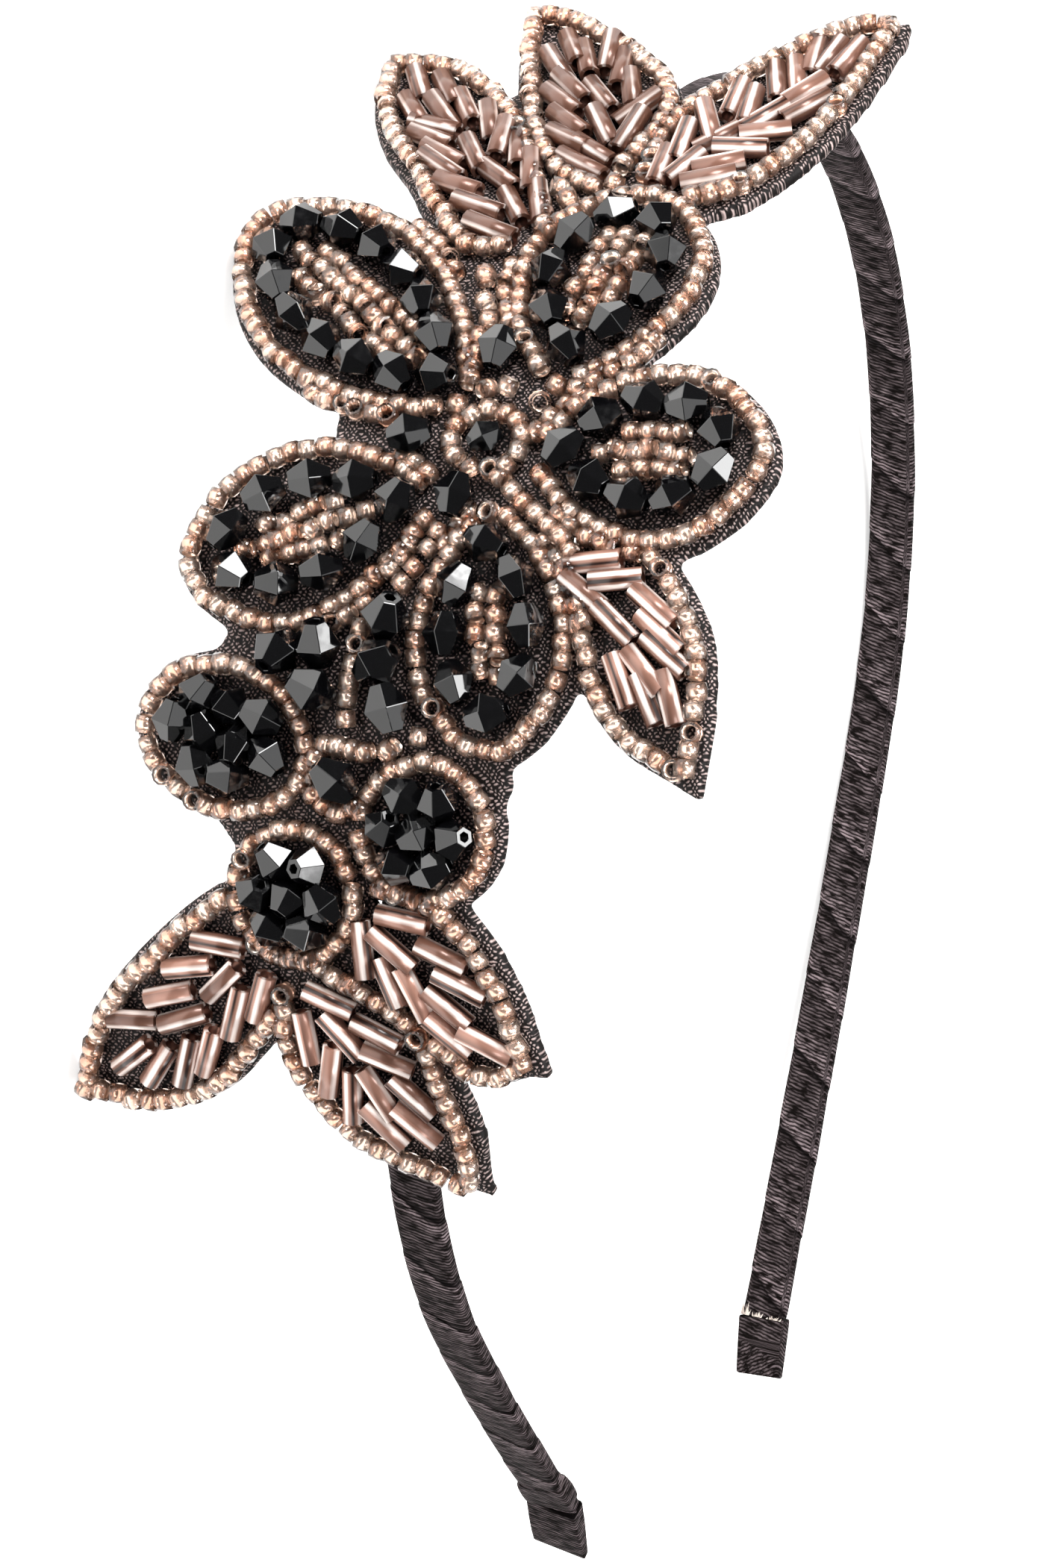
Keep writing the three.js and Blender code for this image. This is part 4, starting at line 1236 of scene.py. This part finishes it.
for leaf in LEAVES:
    name = leaf["name"]
    flat, heading = walk(leaf_line(leaf)[0], SEED["pitch"])
    seed_string(f"{name}_seed_outline", flat, heading, [f"{name}_outline"])
    laid = np.array(BUGLES[name])
    count = len(laid)
    height = SEAT_HEIGHT + BUGLE["diameter"] / 2 + rng.uniform(0, BUGLE_HAND["lift"], count)
    string(f"{name}_bugle_barbs", bugle_bead, laid[:, :2], np.radians(laid[:, 2]), height,
           [bugle_glass, bugle_mirror], [f"{name}_bugles"],
           tilt=rng.normal(0, BUGLE_HAND["lean"], count),
           stretch=rng.uniform(BUGLE_HAND["shortest"], BUGLE_HAND["longest"], count), painted_shade=leaf["painted_shade"])
    print(name, "bugles:", count)

# %% [markdown]
# ## Berries, flower centre and stems
# A berry is a heap of crystals in a ring of seeds, turned every way, as they are when the thread pulls
# them together. The flower has one crystal in its middle. Short runs of beads fill the space between.

# %% Berries
BERRY_SIZE = 0.98
BERRY_PITCH = 3.4


def berry_heap(berry):
    """Close rows of crystals, the second row half a pitch over from the first."""
    row_pitch = BERRY_PITCH * math.sin(math.pi / 3)
    heap = []
    for row, count in enumerate(berry["rows"]):
        x = (np.arange(count) - (count - 1) / 2) * BERRY_PITCH
        y = np.full(count, (row - (len(berry["rows"]) - 1) / 2) * row_pitch)
        heap.append(in_oval(berry, x, y))
    return np.concatenate(heap)


for berry in BERRIES:
    name = berry["name"]
    flat, heading = walk(oval_line(berry, start=0.04, end=0.98), SEED["pitch"])
    seed_string(f"{name}_seed_outline", flat, heading, [f"{name}_outline"])
    flat = berry_heap(berry)
    every_way = rng.uniform(0, math.pi, len(flat))
    crystal_string(f"{name}_crystal_heap", flat, every_way, [f"{name}_crystals"], size=BERRY_SIZE, lean=0.5)

# %% Flower centre
CENTRE_SIZE = 0.82
CENTRE_HEADING = 0.6
CENTRE = {"centre": (-0.9, 60.2), "half": (3.5, 2.9)}

flat, heading = walk(oval_line(CENTRE, start=0.3, end=1.12), SEED["pitch"])
seed_string("flower_centre_seed_ring", flat, heading, ["flower_centre_outline"])
crystal_string("flower_centre_jet", np.array([CENTRE["centre"]]), np.array([CENTRE_HEADING]),
               ["flower_centre_crystal"], size=CENTRE_SIZE)

# %% Runs between the motifs
STEM_SIZE = 1.12
STEM_CRYSTALS = {
    "stem_crystals_left": [(14.0, 82.0), (10.1, 80.8), (10.0, 84.8)],
    "stem_crystals_middle": [(3.9, 77.6), (3.9, 81.6), (2.2, 85.3)],
    "stem_crystal_low": [(6.4, 92.2)],
}
STEM_SEEDS = {
    "stem_seeds_upper": [(6.8, 78.6), (7.1, 82.5), (6.6, 86.8)],
    "stem_seeds_lower": [(8.2, 89.3), (6.2, 89.5), (4.0, 89.4)],
}
FILL_CRYSTALS = [(0.2, 66.0), (6.4, 61.1), (0.7, 51.6)]
FILL_SEEDS = {
    "right": [(-3.4, 63.6), (-5.4, 65.0), (-7.6, 66.2), (-10.0, 67.8), (-12.0, 69.2)],
    "left": [(1.4, 69.2), (2.4, 71.8), (3.6, 74.4)],
    "upper": [(3.2, 50.4), (2.9, 54.6)],
    "cluster": [(6.4, 74.0), (4.9, 72.9), (3.9, 70.6)],
    "low_ring": [(9.2, 90.6), (8.9, 92.2), (8.8, 94.1), (7.2, 94.7), (5.9, 95.0), (4.6, 94.3)],
    "junction": [(13.2, 108.0), (11.0, 109.0), (9.2, 108.9), (7.2, 109.0), (5.2, 109.8), (3.6, 110.4)],
}

for name, points in STEM_CRYSTALS.items():
    flat = np.array(points)
    every_way = rng.uniform(0, math.pi, len(flat))
    crystal_string(f"{name}_jet", flat, every_way, [name], size=STEM_SIZE, lean=0.4)
for name, points in STEM_SEEDS.items():
    flat, heading = walk(np.array(points), SEED["pitch"])
    seed_string(f"{name}_run", flat, heading, [name])
every_way = rng.uniform(0, math.pi, len(FILL_CRYSTALS))
crystal_string("fill_crystals", np.array(FILL_CRYSTALS), every_way, [])
for name, points in FILL_SEEDS.items():
    flat, heading = walk(np.array(points), SEED["pitch"])
    seed_string(f"fill_seeds_{name}", flat, heading, [])

# %% [markdown]
# ## Loose seeds
# Between the motifs the maker leaves hardly any cloth bare. Places are tried in the middle of the flower,
# round the stems and at the roots of the leaves, and a seed is sewn wherever it touches no bead.

# %% Fill the bare places
FILL = [
    {"centre": (-0.5, 63.0), "half": (10.0, 13.0)},
    {"centre": (1.5, 34.0), "half": (7.0, 9.0)},
    {"centre": (4.0, 50.0), "half": (4.0, 8.0)},
    {"centre": (5.0, 85.0), "half": (10.0, 9.0)},
    {"centre": (6.0, 108.5), "half": (10.0, 4.5)},
    {"centre": (7.5, 96.0), "half": (8.0, 4.0)},
]
FILL_TRIES = 1500
FILL_CLEAR = 0.9

fill_reach = FILL_CLEAR * SEED["diameter"] / 2
filled_places = [place for place, _ in taken]
filled_reach = [FILL_CLEAR * radius for _, radius in taken]
loose = []
for patch in FILL:
    for off in rng.uniform(-1, 1, (FILL_TRIES, 2)):
        spot = np.array(patch["centre"]) + off * patch["half"]
        clear = np.linalg.norm(np.array(filled_places) - spot, axis=1) - filled_reach
        if off @ off < 1 and clear.min() > fill_reach:
            loose.append(spot)
            filled_places.append(spot)
            filled_reach.append(fill_reach)
every_way = rng.uniform(0, math.pi, len(loose))
seed_string("loose_seeds", np.array(loose), every_way, [], lean=0.5)
print("loose seeds:", len(loose))

# %% [markdown]
# ## The cloth as a sheet
# The cloth is the one sheet on the headband: cut flat, stiffened, bent along the band and sewn to it, with
# every bead sewn on.

# %% [markdown]
# ## Floor, light and air
# The photograph is a cut-out on white. A plain white floor, lit well past white, does the same, and its
# bounce fills the glass from below. Three soft lights stand round the camera, so that each facet of the
# crystals has one to mirror, and a wide one hangs overhead.

# %% Floor
FLOOR_SIZE = 6.0
GRAIN_MM = 25.0

start_fresh()
bpy.ops.mesh.primitive_plane_add(size=FLOOR_SIZE)
floor = bpy.context.object
floor.name = "pale_floor"
paper, tree = new_finish("white_paper_floor")
places = add_node(tree, "ShaderNodeTexCoord")
grain = add_node(tree, "ShaderNodeTexNoise", {"Scale": 1 / (GRAIN_MM * MM), "Detail": 2.0},
                 {"Vector": (places, "Object")})
paper_gloss = add_node(tree, "ShaderNodeMapRange", {"To Min": 0.8, "To Max": 0.95}, {"Value": (grain, "Fac")})
show(tree, add_node(tree, "ShaderNodeBsdfPrincipled",
                    {"Base Color": linear("#f4f3f1"), "Specular IOR Level": 0.1,
                     "Emission Color": linear("#ffffff"), "Emission Strength": 0.55},
                    {"Roughness": (paper_gloss, "Result")}))
floor.data.materials.append(paper)
print("floor:", FLOOR_SIZE, "m across")

# %% Lights
LIGHTS = [
    {"name": "key", "right": 0.25, "up": 0.85, "back": 0.75, "away": 0.75, "size": 0.3, "watts": 6.5},
    {"name": "side", "right": 0.95, "up": 0.1, "back": 0.45, "away": 0.8, "size": 0.4, "watts": 6.0},
    {"name": "low", "right": 0.35, "up": -0.8, "back": 0.7, "away": 0.8, "size": 0.25, "watts": 1.8},
]
OVERHEAD = {"name": "overhead", "height": 1.4, "size": 1.6, "watts": 15.0}
LIT_PLACE = (-30.0, 0.0, -60.0)


def soft_light(light):
    lamp_data = bpy.data.lights.new(light["name"], "AREA")
    lamp_data.size = light["size"]
    lamp_data.energy = light["watts"]
    lamp = bpy.data.objects.new(light["name"], lamp_data)
    bpy.context.scene.collection.objects.link(lamp)
    return lamp


middle = Vector(to_frame(LIT_PLACE).tolist())
for light in LIGHTS:
    way = camera_right * light["right"] + camera_up * light["up"] - aim * light["back"]
    way = Vector((way @ WORN_AXES).tolist()).normalized()
    lamp = soft_light(light)
    lamp.location = middle + way * light["away"]
    lamp.rotation_euler = way.to_track_quat("Z", "Y").to_euler()
soft_light(OVERHEAD).location.z = OVERHEAD["height"]
print("lights:", [light["name"] for light in LIGHTS + [OVERHEAD]])

# %% Air
air = bpy.data.worlds.new("white_studio")
bpy.context.scene.world = air
air.use_nodes = True
background = air.node_tree.nodes["Background"]
background.inputs["Color"].default_value = linear("#f5f6f8")
background.inputs["Strength"].default_value = 0.12
bpy.context.scene.view_settings.view_transform = "Standard"
print("air:", air.name)
